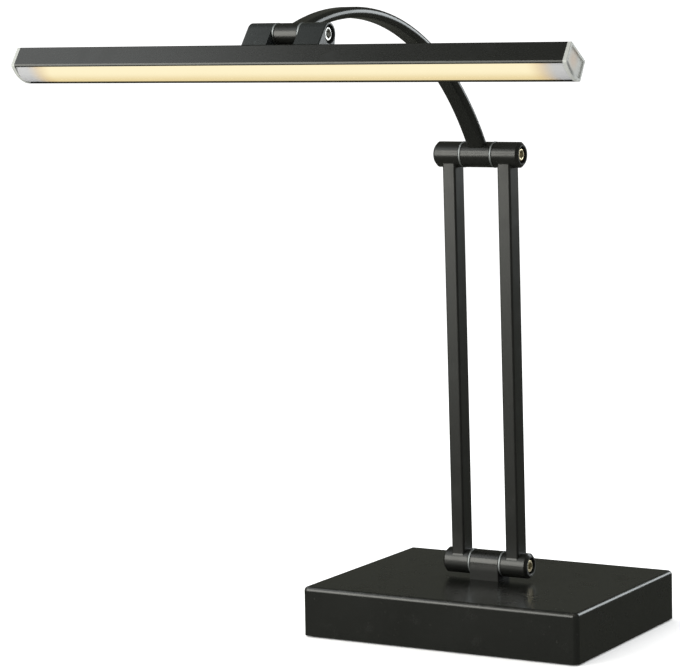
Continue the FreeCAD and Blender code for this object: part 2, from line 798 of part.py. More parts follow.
def lug(side):
    """Ear that carries the head: flanks from both edges of the back panel to a round nose."""
    half_back = channel_back / 2
    inset = channel_corner_radius * 0.5
    front = head_point(-half_back + inset, 0)
    rear = head_point(half_back - inset, 0)
    front_touch = tangent_touch(-half_back + inset)
    rear_touch = tangent_touch(half_back - inset)
    crown = vector(0, 0, lug_nose_radius)
    edges = [
        Part.LineSegment(front, front_touch).toShape(),
        Part.Arc(front_touch, crown, rear_touch).toShape(),
        Part.LineSegment(rear_touch, rear).toShape(),
        Part.LineSegment(rear, front).toShape(),
    ]
    profile = Part.Face(Part.Wire(edges))
    profile.translate(vector(lug_start, 0, 0))
    ear = profile.extrude(vector(lug_length, 0, 0))
    end_edges = [e for e in ear.Edges if abs(e.BoundBox.XMin - lug_end) < 1e-6 and e.BoundBox.ZLength > 1e-6]
    ear = ear.makeFillet(lug_edge_radius, end_edges)
    ear = ear.cut(x_cylinder(bolt_hole, lug_start, lug_end))
    depth = head_recess_depth if side > 0 else nut_recess_depth
    ear = ear.cut(end_recess(lug_end, depth))
    for across in (-lug_screw_offset, lug_screw_offset):
        place = head_point(across, 0)
        ear = ear.cut(tapped_hole(small_screw, (lug_start + lug_end) / 2, place.y, place.z,
                                  place.z + lug_screw_bite + 0.2))
    if side < 0:
        ear = ear.mirror(ORIGIN, X_AXIS)
    return on_head(ear)


def lug_screw_places():
    """Places of the four screws through the back panel into the lugs."""
    middle = (lug_start + lug_end) / 2
    return [(side * middle, across) for side in (-1, 1) for across in (-lug_screw_offset, lug_screw_offset)]


def lug_screws():
    """Four screws from inside the channel into the lugs."""
    screws = []
    for x, across in lug_screw_places():
        seat = head_point(across, channel_wall)
        tip = head_point(across, -lug_screw_bite)
        screws.append(pan_screw(small_screw, x, seat.y, seat.z, tip.z))
    return on_head(group(screws))


def wall_inside(depth):
    """Half width of the channel's hollow at a depth."""
    share = min(depth / channel_depth, 1.0)
    half_back = channel_back / 2
    half_mouth = channel_mouth / 2
    return half_back + (half_mouth - half_back) * share - channel_wall


def channel_side():
    """Inner outline of one side of the channel, from the lip in to the back panel."""
    lip_end = channel_depth + lip_height
    slot_top = rib_depth + rib_thickness
    slot_end = slot_top + strip_thickness + 2 * strip_clearance
    rib_end = slot_end + rib_thickness
    snap_end = snap_depth + snap_height
    return [
        (wall_inside(lip_end), lip_end),
        (wall_inside(snap_end), snap_end),
        (wall_inside(snap_end) + snap_reach, snap_end),
        (wall_inside(snap_depth) + snap_reach, snap_depth),
        (wall_inside(snap_depth), snap_depth),
        (wall_inside(rib_end), rib_end),
        (wall_inside(rib_end) - rib_reach, rib_end),
        (wall_inside(slot_end) - rib_reach, slot_end),
        (wall_inside(slot_end), slot_end),
        (wall_inside(slot_top), slot_top),
        (wall_inside(slot_top) - rib_reach, slot_top),
        (wall_inside(rib_depth) - rib_reach, rib_depth),
        (wall_inside(rib_depth), rib_depth),
        (wall_inside(channel_wall), channel_wall),
    ]


def channel_outline():
    """Outer corners of one side of the channel, from the back panel out to the lip."""
    half_mouth = channel_mouth / 2
    return [(channel_back / 2, 0.0), (half_mouth, channel_depth),
            (half_mouth - lip_slant, channel_depth + lip_height)]


def long_edges(shape, depth, half_width):
    """Edges along a head piece at a depth, on both sides at a half width."""
    place = head_point(0, depth)
    return [e for e in shape.Edges if e.BoundBox.XLength > cap_thickness / 2
            and e.BoundBox.ZLength < 1e-6 and abs(e.BoundBox.ZMin - place.z) < 1e-6
            and abs(abs(e.BoundBox.YMin - place.y) - half_width) < 1e-6]


def round_corners(shape):
    """Round the channel's outer corners, at its back panel and at its mouth."""
    shape = shape.makeFillet(channel_corner_radius, long_edges(shape, 0, channel_back / 2))
    return shape.makeFillet(channel_mouth_radius, long_edges(shape, channel_depth, channel_mouth / 2))


def head_housing():
    """Extruded aluminium channel with slots for the strip, snap grooves and bevelled lips."""
    outer = channel_outline()
    inner = channel_side()
    right = outer + inner
    left = [(-across, depth) for across, depth in reversed(right)]
    start = -head_length / 2
    points = [head_point(across, depth, start) for across, depth in right + left]
    points.append(points[0])
    channel = Part.Face(Part.makePolygon(points)).extrude(vector(head_length, 0, 0))
    channel = round_corners(channel)
    lip_end, lip_depth = outer[-1]
    channel = channel.makeFillet(lip_edge_radius, long_edges(channel, lip_depth, lip_end))
    for x, across in lug_screw_places():
        place = head_point(across, 0)
        channel = channel.cut(tapped_hole(small_screw, x, place.y, place.z - channel_wall, place.z))
    return on_head(channel)


def strip_depth():
    """Depth of the strip's face that lies against the upper ribs."""
    return rib_depth + rib_thickness + strip_clearance


def led_strip():
    """Long circuit board that slides into the channel's slots."""
    half_width = wall_inside(strip_depth()) - strip_clearance
    half_length = head_length / 2 - cap_tongue - 1
    top = head_point(0, strip_depth()).z
    strip = block(-half_length, half_length, head_setback - half_width, head_setback + half_width,
                  top - strip_thickness, top)
    return on_head(strip)


def led_chips():
    """Row of light-emitting chips along the strip."""
    pitch = chip_row_length / (chip_count - 1)
    top = head_point(0, strip_depth() + strip_thickness).z
    chips = []
    for index in range(chip_count):
        x = -chip_row_length / 2 + index * pitch
        chips.append(block(x - chip_length / 2, x + chip_length / 2, head_setback - chip_width / 2,
                           head_setback + chip_width / 2, top - chip_height, top))
    return on_head(group(chips))


def diffuser_arc(half_width, radius, crown, x, reverse=False):
    """Arc of the diffuser's skin between two edges, through its crown."""
    sag = radius - math.sqrt(radius ** 2 - half_width ** 2)
    right = head_point(half_width, crown - sag, x)
    left = head_point(-half_width, crown - sag, x)
    middle = head_point(0, crown, x)
    ends = (left, right) if reverse else (right, left)
    return ends[0], Part.Arc(ends[0], middle, ends[1]).toShape(), ends[1]


def diffuser_leg():
    """Outer outline of one leg of the diffuser, from the skin's edge in to the foot."""
    foot = snap_depth - 0.5
    snap_low = snap_depth + snap_play
    snap_high = snap_depth + snap_height - snap_play
    hook = snap_reach - snap_play
    return [
        (wall_inside(channel_depth) - diffuser_clearance, channel_depth),
        (wall_inside(snap_high) - diffuser_clearance, snap_high),
        (wall_inside(snap_high) + hook, snap_high),
        (wall_inside(snap_low) + hook, snap_low),
        (wall_inside(snap_low) - diffuser_clearance, snap_low),
        (wall_inside(foot) - diffuser_clearance, foot),
    ]


def diffuser():
    """Bowed opal cover with two legs whose hooks snap into the channel's grooves."""
    x = -head_length / 2
    crown = channel_depth + diffuser_bulge
    half = wall_inside(channel_depth) - diffuser_clearance
    leg_inner = half - diffuser_wall
    right, outer_arc, left = diffuser_arc(half, diffuser_radius, crown, x)
    inner_left, inner_arc, inner_right = diffuser_arc(
        leg_inner, diffuser_radius - diffuser_wall, crown - diffuser_wall, x, True)
    leg = diffuser_leg() + [(leg_inner, snap_depth - 0.5)]
    left_leg = [left] + [head_point(-across, depth, x) for across, depth in leg] + [inner_left]
    right_leg = [inner_right] + [head_point(across, depth, x) for across, depth in reversed(leg)] + [right]
    edges = [outer_arc, inner_arc]
    edges += Part.makePolygon(left_leg).Edges
    edges += Part.makePolygon(right_leg).Edges
    skin = Part.Face(Part.Wire(Part.__sortEdges__(edges)))
    return on_head(skin.extrude(vector(head_length, 0, 0)))


def cap_outline(x):
    """Closed outline of the head's end: the channel's outside and the diffuser's bow."""
    side = channel_outline()
    crown = channel_depth + diffuser_bulge
    right = [head_point(across, depth, x) for across, depth in side]
    left = [head_point(-across, depth, x) for across, depth in reversed(side)]
    edges = [Part.Arc(right[-1], head_point(0, crown, x), left[0]).toShape()]
    for start, end in zip(left, left[1:]):
        edges.append(Part.LineSegment(start, end).toShape())
    edges.append(Part.LineSegment(left[-1], right[0]).toShape())
    for start, end in zip(right, right[1:]):
        edges.append(Part.LineSegment(start, end).toShape())
    return Part.Wire(Part.__sortEdges__(edges))


def end_cap(side):
    """Frosted end cap: a plate with a raised rim outside and two tongues into the channel."""
    inside = head_length / 2
    outside = inside + cap_thickness
    plate = Part.Face(cap_outline(inside)).extrude(vector(cap_thickness, 0, 0))
    plate = round_corners(plate)
    rim_edges = [e for e in plate.Edges if abs(e.BoundBox.XMin - outside) < 1e-6]
    plate = plate.makeFillet(cap_edge_radius, rim_edges)
    floor = cap_outline(outside - cap_recess).makeOffset2D(-cap_rim)
    plate = plate.cut(Part.Face(floor).extrude(vector(cap_recess + 1, 0, 0)))
    upper_half = wall_inside(channel_wall) - cap_clearance
    upper_top = head_point(0, channel_wall + cap_clearance).z
    upper_low = head_point(0, rib_depth - cap_clearance).z
    lower_half = wall_inside(channel_depth) - diffuser_clearance - diffuser_wall - cap_clearance
    strip_low = strip_depth() + strip_thickness + strip_clearance + rib_thickness
    lower_top = head_point(0, strip_low + cap_clearance).z
    lower_low = head_point(0, channel_depth - diffuser_wall).z
    for half, top, low in ((upper_half, upper_top, upper_low), (lower_half, lower_top, lower_low)):
        tongue = block(inside - cap_tongue, inside, head_setback - half, head_setback + half, low, top)
        plate = plate.fuse(tongue)
    plate = plate.removeSplitter()
    if side < 0:
        plate = plate.mirror(ORIGIN, X_AXIS)
    return on_head(plate)


def build():
    """All sub-parts by node name."""
    half_centre = centre_length / 2
    parts = {
        "base_housing": base_housing(),
        "base_weight": base_weight(),
        "base_plate": base_plate(),
        "felt_pad": felt_pad(),
        "plate_screws": plate_screws(),
        "weight_screws": weight_screws(),
        "knuckle_block": knuckle_block(),
        "knuckle_screws": knuckle_screws(),
        "board_pillars": board_pillars(),
        "driver_board": driver_board(),
        "driver_parts": driver_parts(),
        "board_screws": board_screws(),
        "power_socket": power_socket(),
        "power_socket_pin": power_socket_pin(),
        "power_socket_nut": power_socket_nut(),
        "switch_frame": switch_frame(),
        "switch_rocker": switch_rocker(),
        "arm_foot_barrel": arm_foot_barrel(),
        "arm_tube": arm_tube(),
        "arm_tip_barrel": arm_tip_barrel(),
        "lug_screws": lug_screws(),
        "head_housing": head_housing(),
        "led_strip": led_strip(),
        "led_chips": led_chips(),
        "diffuser": diffuser(),
    }
    for name, side in (("left", -1), ("right", 1)):
        parts[f"lower_{name}_barrel"] = outer_barrel(side, 0, True)
        parts[f"upper_{name}_barrel"] = outer_barrel(side, post_length, False)
        parts[f"{name}_bar"] = post_bar(side)
        parts[f"{name}_lug"] = lug(side)
        parts[f"{name}_end_cap"] = end_cap(side)
    for name, z in (("lower", 0), ("upper", post_length)):
        parts[f"{name}_pivot_bolt"] = lifted(pivot_bolt(outer_end), z)
        parts[f"{name}_pivot_nut"] = lifted(pivot_nut(outer_end), z)
        parts[f"{name}_washers"] = lifted(pivot_washers(knuckle_diameter, half_centre), z)
    parts["head_pivot_bolt"] = on_head(pivot_bolt(lug_end))
    parts["head_pivot_nut"] = on_head(pivot_nut(lug_end))
    parts["head_washers"] = on_head(pivot_washers(tip_diameter, tip_length / 2))
    return parts


os.makedirs("parts", exist_ok=True)
for node, shape in build().items():
    shape.exportStep(f"parts/{node}.step")
    solids = shape.Solids
    print(f"{node}: {len(solids)} solid(s), {sum(s.Volume for s in solids) / 1000:.2f} cm3, valid {shape.isValid()}")
print(f"upper axis y {upper_axis_y:.2f} z {upper_axis_z:.2f}")
print(f"lower axis z {lower_axis_z:.2f}, head axis y {head_axis_y:.2f} z {head_axis_z:.2f}")
print(f"rocker pivot x {switch_x:.2f} y {rocker_pivot_y:.2f} z {switch_z:.2f}")
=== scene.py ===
"""Looks of the piano lamp: finishes, fastener detail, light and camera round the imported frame.

Lengths are in metres and angles in degrees unless a name says otherwise. A Point is where a line
along X crosses the YZ plane, a Span holds the two values that something fades between, and
HEAD_TILT is how far the head is turned about X at rest.
"""

import logging
import math
from dataclasses import dataclass
from enum import Enum
from typing import Any, Dict, List, Optional, Sequence, Tuple, Union

import bpy
import numpy as np
from mathutils import Matrix, Vector


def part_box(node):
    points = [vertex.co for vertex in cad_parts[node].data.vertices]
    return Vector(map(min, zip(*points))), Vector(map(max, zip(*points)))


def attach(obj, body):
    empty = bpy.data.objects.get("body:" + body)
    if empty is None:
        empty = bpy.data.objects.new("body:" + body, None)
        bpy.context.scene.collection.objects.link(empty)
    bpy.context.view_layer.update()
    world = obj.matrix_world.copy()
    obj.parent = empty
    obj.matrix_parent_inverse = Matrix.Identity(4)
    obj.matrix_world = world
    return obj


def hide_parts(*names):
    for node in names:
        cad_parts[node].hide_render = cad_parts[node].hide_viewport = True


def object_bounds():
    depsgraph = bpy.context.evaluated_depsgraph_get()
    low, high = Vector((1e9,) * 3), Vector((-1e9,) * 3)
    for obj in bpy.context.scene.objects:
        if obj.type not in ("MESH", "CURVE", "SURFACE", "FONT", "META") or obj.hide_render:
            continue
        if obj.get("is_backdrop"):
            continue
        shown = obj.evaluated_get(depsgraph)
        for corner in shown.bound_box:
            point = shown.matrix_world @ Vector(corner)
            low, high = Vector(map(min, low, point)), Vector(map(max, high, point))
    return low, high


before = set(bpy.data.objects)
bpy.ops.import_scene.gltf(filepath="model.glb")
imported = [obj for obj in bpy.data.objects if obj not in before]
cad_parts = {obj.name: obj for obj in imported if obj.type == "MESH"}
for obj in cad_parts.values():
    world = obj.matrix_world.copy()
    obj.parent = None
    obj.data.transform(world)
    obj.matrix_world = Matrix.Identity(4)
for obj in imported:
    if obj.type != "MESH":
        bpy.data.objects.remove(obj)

LOG = logging.getLogger("piano_lamp")
MM = 0.001
HEAD_TILT = 33.2

Number = Union[int, float]
Point = Tuple[float, float]
Span = Tuple[float, float]
Colour = Tuple[float, float, float]

BLACK: Colour = (0.0, 0.0, 0.0)
WHITE: Colour = (1.0, 1.0, 1.0)


class Side(Enum):
    """The two ends of whatever lies along X."""

    LEFT = -1
    RIGHT = 1


class Hinge(Enum):
    """The three hinges, by the name their nodes start with and the body their hardware rides on."""

    LOWER = ("lower", "post")
    UPPER = ("upper", "post")
    HEAD = ("head", "head")

    @property
    def prefix(self) -> str:
        """First word of the hinge's node names."""
        return self.value[0]

    @property
    def body(self) -> str:
        """Body that the hinge's bolt, nut and washers ride on."""
        return self.value[1]


class Link:
    """A shader socket that takes part in arithmetic; each operation adds one Math node."""

    def __init__(self, tree: "ShaderTree", socket: bpy.types.NodeSocket) -> None:
        """Wrap an output socket of a tree, which new nodes go into."""
        self.tree = tree
        self.socket = socket

    def __add__(self, other: "Value") -> "Link":
        """Sum of this value and another."""
        return self.tree.math("ADD", self, other)

    __radd__ = __add__

    def __sub__(self, other: "Value") -> "Link":
        """This value less another."""
        return self.tree.math("SUBTRACT", self, other)

    def __rsub__(self, other: "Value") -> "Link":
        """Another value less this one."""
        return self.tree.math("SUBTRACT", other, self)

    def __mul__(self, other: "Value") -> "Link":
        """Product of this value and another."""
        return self.tree.math("MULTIPLY", self, other)

    __rmul__ = __mul__

    def __abs__(self) -> "Link":
        """Size of this value without its sign."""
        return self.tree.math("ABSOLUTE", self)

    def __pow__(self, other: "Value") -> "Link":
        """This value to a power."""
        return self.tree.math("POWER", self, other)

    def above(self, other: "Value") -> "Link":
        """One where this value is greater than another, and zero elsewhere."""
        return self.tree.math("GREATER_THAN", self, other)

    def fade(self, low: Number, high: Number) -> "Link":
        """Zero at low, one at high, the same beyond them, and a smooth step between them."""
        settings = {"interpolation_type": "SMOOTHSTEP"}
        values = {"Value": self, "From Min": low, "From Max": high}
        return self.tree.node("ShaderNodeMapRange", settings, values)["Result"]


Value = Union[Link, Number]


class NodeHandle:
    """A node of a tree, whose outputs are read by name."""

    def __init__(self, tree: "ShaderTree", node: bpy.types.Node) -> None:
        """Keep the tree and its node."""
        self.tree = tree
        self.node = node

    def __getitem__(self, output: str) -> Link:
        """Output of that name, ready for arithmetic."""
        return Link(self.tree, self.node.outputs[output])

    def set(self, values: Dict[str, Any]) -> None:
        """Give inputs a number, a colour or a Link each, by their names."""
        for name, value in values.items():
            self.tree.feed(self.node.inputs[name], value)


class MixSocket(Enum):
    """Sockets of a Mix node that mixes colours; its sockets share names, so they go by number."""

    SHARE = 0
    LOW = 6
    HIGH = 7
    RESULT = 2


class ShaderTree:
    """Node tree of one material, with a Principled shader already joined to its output."""

    def __init__(self, name: str) -> None:
        """Make the material and its shader.

        Args:
            name: Name of the material.
        """
        self.material = bpy.data.materials.new(name)
        self.material.use_nodes = True
        self.nodes = self.material.node_tree.nodes
        self.links = self.material.node_tree.links
        self.nodes.clear()
        self.shader = self.node("ShaderNodeBsdfPrincipled")
        output = self.node("ShaderNodeOutputMaterial")
        self.links.new(self.shader.node.outputs["BSDF"], output.node.inputs["Surface"])
        self.place = self.node("ShaderNodeTexCoord")["Object"]

    def feed(self, socket: bpy.types.NodeSocket, value: Any) -> None:
        """Link a socket or set its value.

        Args:
            socket: Input socket.
            value: A Link, a number, or a colour or vector as a tuple.
        """
        if isinstance(value, Link):
            self.links.new(value.socket, socket)
        elif isinstance(value, tuple) and socket.type == "RGBA" and len(value) == 3:
            socket.default_value = (*value, 1.0)
        else:
            socket.default_value = value

    def node(
        self,
        kind: str,
        settings: Optional[Dict[str, Any]] = None,
        values: Optional[Dict[str, Any]] = None,
    ) -> NodeHandle:
        """Add any node.

        Args:
            kind: The node's type.
            settings: Properties, which are set first; "stops" are the stops of a colour ramp.
            values: Values or links of its inputs.

        Returns:
            The new node.
        """
        node = self.nodes.new(kind)
        for name, setting in (settings or {}).items():
            if name == "stops":
                self._ramp(node, setting)
            else:
                setattr(node, name, setting)
        handle = NodeHandle(self, node)
        handle.set(values or {})
        return handle

    @staticmethod
    def _ramp(node: bpy.types.Node, stops: Sequence[Tuple[float, Colour]]) -> None:
        """Give a colour ramp its stops."""
        elements = node.color_ramp.elements
        while len(elements) < len(stops):
            elements.new(1.0)
        for element, (position, colour) in zip(elements, stops):
            element.position = position
            element.color = (*colour, 1.0)

    def math(self, operation: str, *operands: Value) -> Link:
        """Add a Math node.

        Args:
            operation: The node's operation.
            *operands: One or two numbers or links.

        Returns:
            The node's value.
        """
        node = self.nodes.new("ShaderNodeMath")
        node.operation = operation
        for socket, operand in zip(node.inputs, operands):
            self.feed(socket, operand)
        return Link(self, node.outputs[0])

    def split(self, vector: Link) -> Tuple[Link, Link, Link]:
        """The three parts of a vector."""
        parts = self.node("ShaderNodeSeparateXYZ", values={"Vector": vector})
        return parts["X"], parts["Y"], parts["Z"]

    def join(self, x: Value = 0.0, y: Value = 0.0, z: Value = 0.0) -> Link:
        """A vector from its three parts."""
        return self.node("ShaderNodeCombineXYZ", values={"X": x, "Y": y, "Z": z})["Vector"]

    def fed(self, name: str) -> Link:
        """What feeds an input of the shader so far."""
        return Link(self, self.shader.node.inputs[name].links[0].from_socket)

    def slanted(self, origin: Point, direction: float) -> Link:
        """Distance from a line along X, measured in a direction of the YZ plane.

        It is (y - y0) cos d + (z - z0) sin d for the origin (y0, z0) and the direction d.

        Args:
            origin: The line that the distance starts from.
            direction: Angle from +Y towards +Z.

        Returns:
            The distance, with its sign.
        """
        _, y, z = self.split(self.place)
        angle = math.radians(direction)
        return (y - origin[0]) * math.cos(angle) + (z - origin[1]) * math.sin(angle)

    def across_head(self, origin: Point) -> Link:
        """Distance across the head's face from a line along X, towards its rear edge."""
        return self.slanted(origin, -HEAD_TILT)

    def deep_in_head(self, origin: Point) -> Link:
        """Distance from a line along X towards the head's lit face."""
        return self.slanted(origin, -90.0 - HEAD_TILT)

    def stretched(self, scale: Tuple[float, float, float]) -> Link:
        """Object position with each axis scaled by its own factor."""
        values = {"Vector": self.place, "Scale": scale}
        return self.node("ShaderNodeMapping", {"vector_type": "POINT"}, values)["Vector"]

    def noise(self, size: float, detail: float = 2.0, place: Optional[Link] = None) -> Link:
        """Noise from 0 to 1, with grains of a size and a number of finer layers."""
        values = {"Vector": place or self.place, "Scale": 1.0 / size, "Detail": detail}
        return self.node("ShaderNodeTexNoise", values=values)["Fac"]

    def blend(self, share: Value, low: Any, high: Any) -> Link:
        """Colour that goes from low to high as share goes from 0 to 1."""
        mix = self.nodes.new("ShaderNodeMix")
        mix.data_type = "RGBA"
        self.feed(mix.inputs[MixSocket.SHARE.value], share)
        self.feed(mix.inputs[MixSocket.LOW.value], low)
        self.feed(mix.inputs[MixSocket.HIGH.value], high)
        return Link(self, mix.outputs[MixSocket.RESULT.value])

    def vary(self, share: Value, colour: Colour, low: float, high: float) -> Link:
        """A colour between two shades of itself, as share goes from 0 to 1."""
        return self.blend(share, shade(colour, low), shade(colour, high))

    def bump(self, height: Link, depth: float) -> None:
        """Raise the surface by a height from 0 to 1, where 1 stands as high as depth."""
        values = {"Height": height, "Distance": depth, "Strength": 1.0}
        self.shader.set({"Normal": self.node("ShaderNodeBump", values=values)["Normal"]})


def hypotenuse(a: Link, b: Link) -> Link:
    """Root of the sum of two squares."""
    return (a * a + b * b) ** 0.5


def shade(colour: Colour, factor: float) -> Colour:
    """A colour made lighter or darker by a factor."""
    return tuple(min(1.0, channel * factor) for channel in colour)


@dataclass(frozen=True)
class Finish:
    """What a surface is made of or coated with; each kind paints its own shader."""

    name: str

    def paint(self, tree: ShaderTree) -> None:
        """Fill in the shader of a new tree."""
        raise NotImplementedError

    def material(self) -> bpy.types.Material:
        """The finish's material, made once.

        Returns:
            The material.
        """
        found = bpy.data.materials.get(self.name)
        if found is None:
            tree = ShaderTree(self.name)
            self.paint(tree)
            found = tree.material
        return found


@dataclass(frozen=True)
class SatinPaint(Finish):
    """Sprayed black lacquer: orange peel, fine sparkle of roughness, a few dust nibs."""

    colour: Colour = (0.0066, 0.0070, 0.0060)
    roughness: float = 0.29
    grain: float = 0.9 * MM
    peel: float = 3.0 * MM
    relief: float = 0.006 * MM
    drift: float = 40 * MM
    nib: float = 1.3 * MM
    print_size: float = 14 * MM
    unevenness: float = 0.05

    def paint(self, tree: ShaderTree) -> None:
        """Colour and roughness drift over centimetres, and a two-scale relief breaks the gloss."""
        drift = tree.noise(self.drift, 3.0)
        peel = tree.noise(self.peel, 2.0)
        grain = tree.noise(self.grain, 2.0)
        nibs = tree.noise(self.nib, 0.0).fade(0.80, 0.86)
        handled = tree.noise(self.print_size, 5.0).fade(0.52, 0.72)
        tint = tree.vary(drift, self.colour, 0.85, 1.2)
        uneven = self.unevenness * drift + self.unevenness * grain + self.unevenness * handled
        tree.shader.set({
            "Base Color": tree.blend(nibs * 0.35, tint, shade(self.colour, 6.0)),
            "Roughness": self.roughness + uneven,
        })
        tree.bump(peel * 0.6 + grain * 0.3 + nibs * 0.5, self.relief)

    @staticmethod
    def roughen(tree: ShaderTree, amount: Link) -> None:
        """Add an amount to the roughness that the lacquer already has."""
        tree.shader.set({"Roughness": tree.fed("Roughness") + amount})


@dataclass(frozen=True)
class EdgedPaint(SatinPaint):
    """The lacquer on the base, with a painted highlight: lighter in patches along its top edges, and a little
    smoother there.
    """

    half_width: float = 95 * MM
    half_depth: float = 71.85 * MM
    top: float = 32.2 * MM
    reach: float = 2.6 * MM
    highlight_below: float = 0.2 * MM
    patch: float = 3.5 * MM
    # colour of the painted highlight along the top edges
    painted_highlight: Colour = (0.05, 0.05, 0.048)

    def paint(self, tree: ShaderTree) -> None:
        """The painted highlight is how near a point lies to the outer edge and to the top, broken up by
        noise.
        """
        super().paint(tree)
        x, y, z = tree.split(tree.place)
        side = tree.math("MAXIMUM", abs(x) - self.half_width, abs(y) - self.half_depth)
        near = side.fade(-self.reach, 0.0) * (z - self.top).fade(-self.reach, -self.highlight_below)
        # painted highlight: the colour lightens in patches along the top edges
        edge_highlight = near * tree.noise(self.patch, 4.0).fade(0.38, 0.75)
        tree.shader.set({"Base Color": tree.blend(edge_highlight * 0.5, tree.fed("Base Color"), self.painted_highlight)})
        self.roughen(tree, -0.07 * edge_highlight)


@dataclass(frozen=True)
class LinedPaint(SatinPaint):
    """The lacquer on drawn or extruded metal, whose long fine lines show faintly through it."""

    line: float = 0.7 * MM
    stretch: Tuple[float, float, float] = (1.0, 1.0, 0.01)
    depth: float = 0.07

    def paint(self, tree: ShaderTree) -> None:
        """Lines are noise that is a hundred or more times longer along the metal than across."""
        super().paint(tree)
        self.roughen(tree, self.depth * tree.noise(self.line, 2.0, tree.stretched(self.stretch)))


@dataclass(frozen=True)
class BossPaint(SatinPaint):
    """The lacquer on the boss under the hinge: smooth over its round top, dull on its cast flanks."""

    shoulder: float = 42 * MM
    reach: float = 5 * MM
    dullness: float = 0.42

    def paint(self, tree: ShaderTree) -> None:
        """Roughness grows with the depth below the shoulder, where the flanks become flat."""
        super().paint(tree)
        flank = tree.split(tree.place)[2].fade(self.shoulder, self.shoulder - self.reach)
        self.roughen(tree, self.dullness * flank)


@dataclass(frozen=True)
class TurnedMetal(Finish):
    """Bright metal turned on a lathe about a line along X."""

    colour: Colour
    centre: Point
    roughness: float = 0.24
    line: float = 0.12 * MM
    stain: float = 2.5 * MM
    relief: float = 0.004 * MM

    def paint(self, tree: ShaderTree) -> None:
        """Tool lines are noise of the distance from the turning axis; handling dulls some of it."""
        x, y, z = tree.split(tree.place)
        radius = hypotenuse(y - self.centre[0], z - self.centre[1])
        lines = tree.noise(self.line, 2.0, tree.join(radius, x * 0.8))
        stain = tree.noise(self.stain, 4.0)
        tree.shader.set({
            "Base Color": tree.vary(stain, self.colour, 0.80, 1.08),
            "Metallic": 1.0,
            "Roughness": self.roughness + 0.16 * lines + 0.08 * stain,
        })
        tree.bump(lines, self.relief)


@dataclass(frozen=True)
class PlatedSteel(Finish):
    """Zinc plate on sheet metal, with its crystal spangle."""

    colour: Colour = (0.50, 0.51, 0.53)
    spangle: float = 5.0 * MM
    scratch: float = 0.5 * MM
    relief: float = 0.004 * MM

    def paint(self, tree: ShaderTree) -> None:
        """Each cell of a cellular pattern has its own brightness and roughness."""
        values = {"Vector": tree.place, "Scale": 1.0 / self.spangle}
        cells = tree.node("ShaderNodeTexVoronoi", {"feature": "F1"}, values)["Color"]
        level = tree.split(cells)[0]
        scratch = tree.noise(self.scratch, 2.0, tree.stretched((0.03, 1.0, 1.0)))
        tree.shader.set({
            "Base Color": tree.vary(level, self.colour, 0.75, 1.15),
            "Metallic": 1.0,
            "Roughness": 0.34 + 0.14 * level + 0.08 * scratch,
        })
        tree.bump(scratch, self.relief)


@dataclass(frozen=True)
class SandCasting(Finish):
    """Grey primer on sand-cast iron, with its pits and soft lumps."""

    colour: Colour = (0.10, 0.10, 0.10)
    rust: Colour = (0.16, 0.07, 0.035)
    lump: float = 9 * MM
    grain: float = 0.8 * MM
    relief: float = 0.12 * MM

    def paint(self, tree: ShaderTree) -> None:
        """Relief is coarse sand grain plus slow lumps; rust shows faintly in the low spots."""
        lumps = tree.noise(self.lump, 3.0)
        grain = tree.noise(self.grain, 3.0)
        rust = (1.0 - grain).fade(0.60, 0.75) * lumps
        tint = tree.vary(lumps, self.colour, 0.75, 1.25)
        tree.shader.set({
            "Base Color": tree.blend(rust * 0.7, tint, self.rust),
            "Metallic": 0.1,
            "Roughness": 0.62 + 0.2 * grain,
        })
        tree.bump(grain * 0.6 + lumps * 0.4, self.relief)


@dataclass(frozen=True)
class PressedFelt(Finish):
    """Black pressed felt: matted fibres in two directions and a soft nap."""

    colour: Colour = (0.020, 0.022, 0.021)
    fibre: float = 0.25 * MM
    tuft: float = 2.2 * MM
    relief: float = 0.25 * MM

    def paint(self, tree: ShaderTree) -> None:
        """Two sets of stretched noise cross each other as fibres; tufts vary the tone."""
        warp = tree.noise(self.fibre, 3.0, tree.stretched((0.12, 1.0, 1.0)))
        weft = tree.noise(self.fibre, 3.0, tree.stretched((1.0, 0.15, 1.0)))
        tufts = tree.noise(self.tuft, 3.0)
        fibres = tree.math("MAXIMUM", warp, weft)
        tint = tree.vary(fibres, self.colour, 0.5, 1.9)
        tree.shader.set({
            "Base Color": tree.blend(tufts * 0.5, tint, shade(self.colour, 1.5)),
            "Roughness": 0.90 + 0.08 * tufts,
            "Sheen Weight": 0.5,
            "Specular IOR Level": 0.2,
        })
        tree.bump(fibres * 0.7 + tufts * 0.3, self.relief)


@dataclass(frozen=True)
class MouldedPlastic(Finish):
    """Moulded plastic with a spark-eroded grain."""

    colour: Colour = (0.018, 0.018, 0.019)
    roughness: float = 0.46
    grain: float = 0.35 * MM
    flow: float = 6 * MM
    relief: float = 0.02 * MM

    def paint(self, tree: ShaderTree) -> None:
        """Fine cells make the grain; flow of the melt varies the tone over millimetres."""
        values = {"Vector": tree.place, "Scale": 1.0 / self.grain}
        cells = tree.node("ShaderNodeTexVoronoi", {"feature": "SMOOTH_F1"}, values)["Distance"]
        flow = tree.noise(self.flow, 2.0)
        tree.shader.set({
            "Base Color": tree.vary(flow, self.colour, 0.85, 1.15),
            "Roughness": self.roughness + 0.10 * cells + 0.04 * flow,
        })
        tree.bump(cells, self.relief)


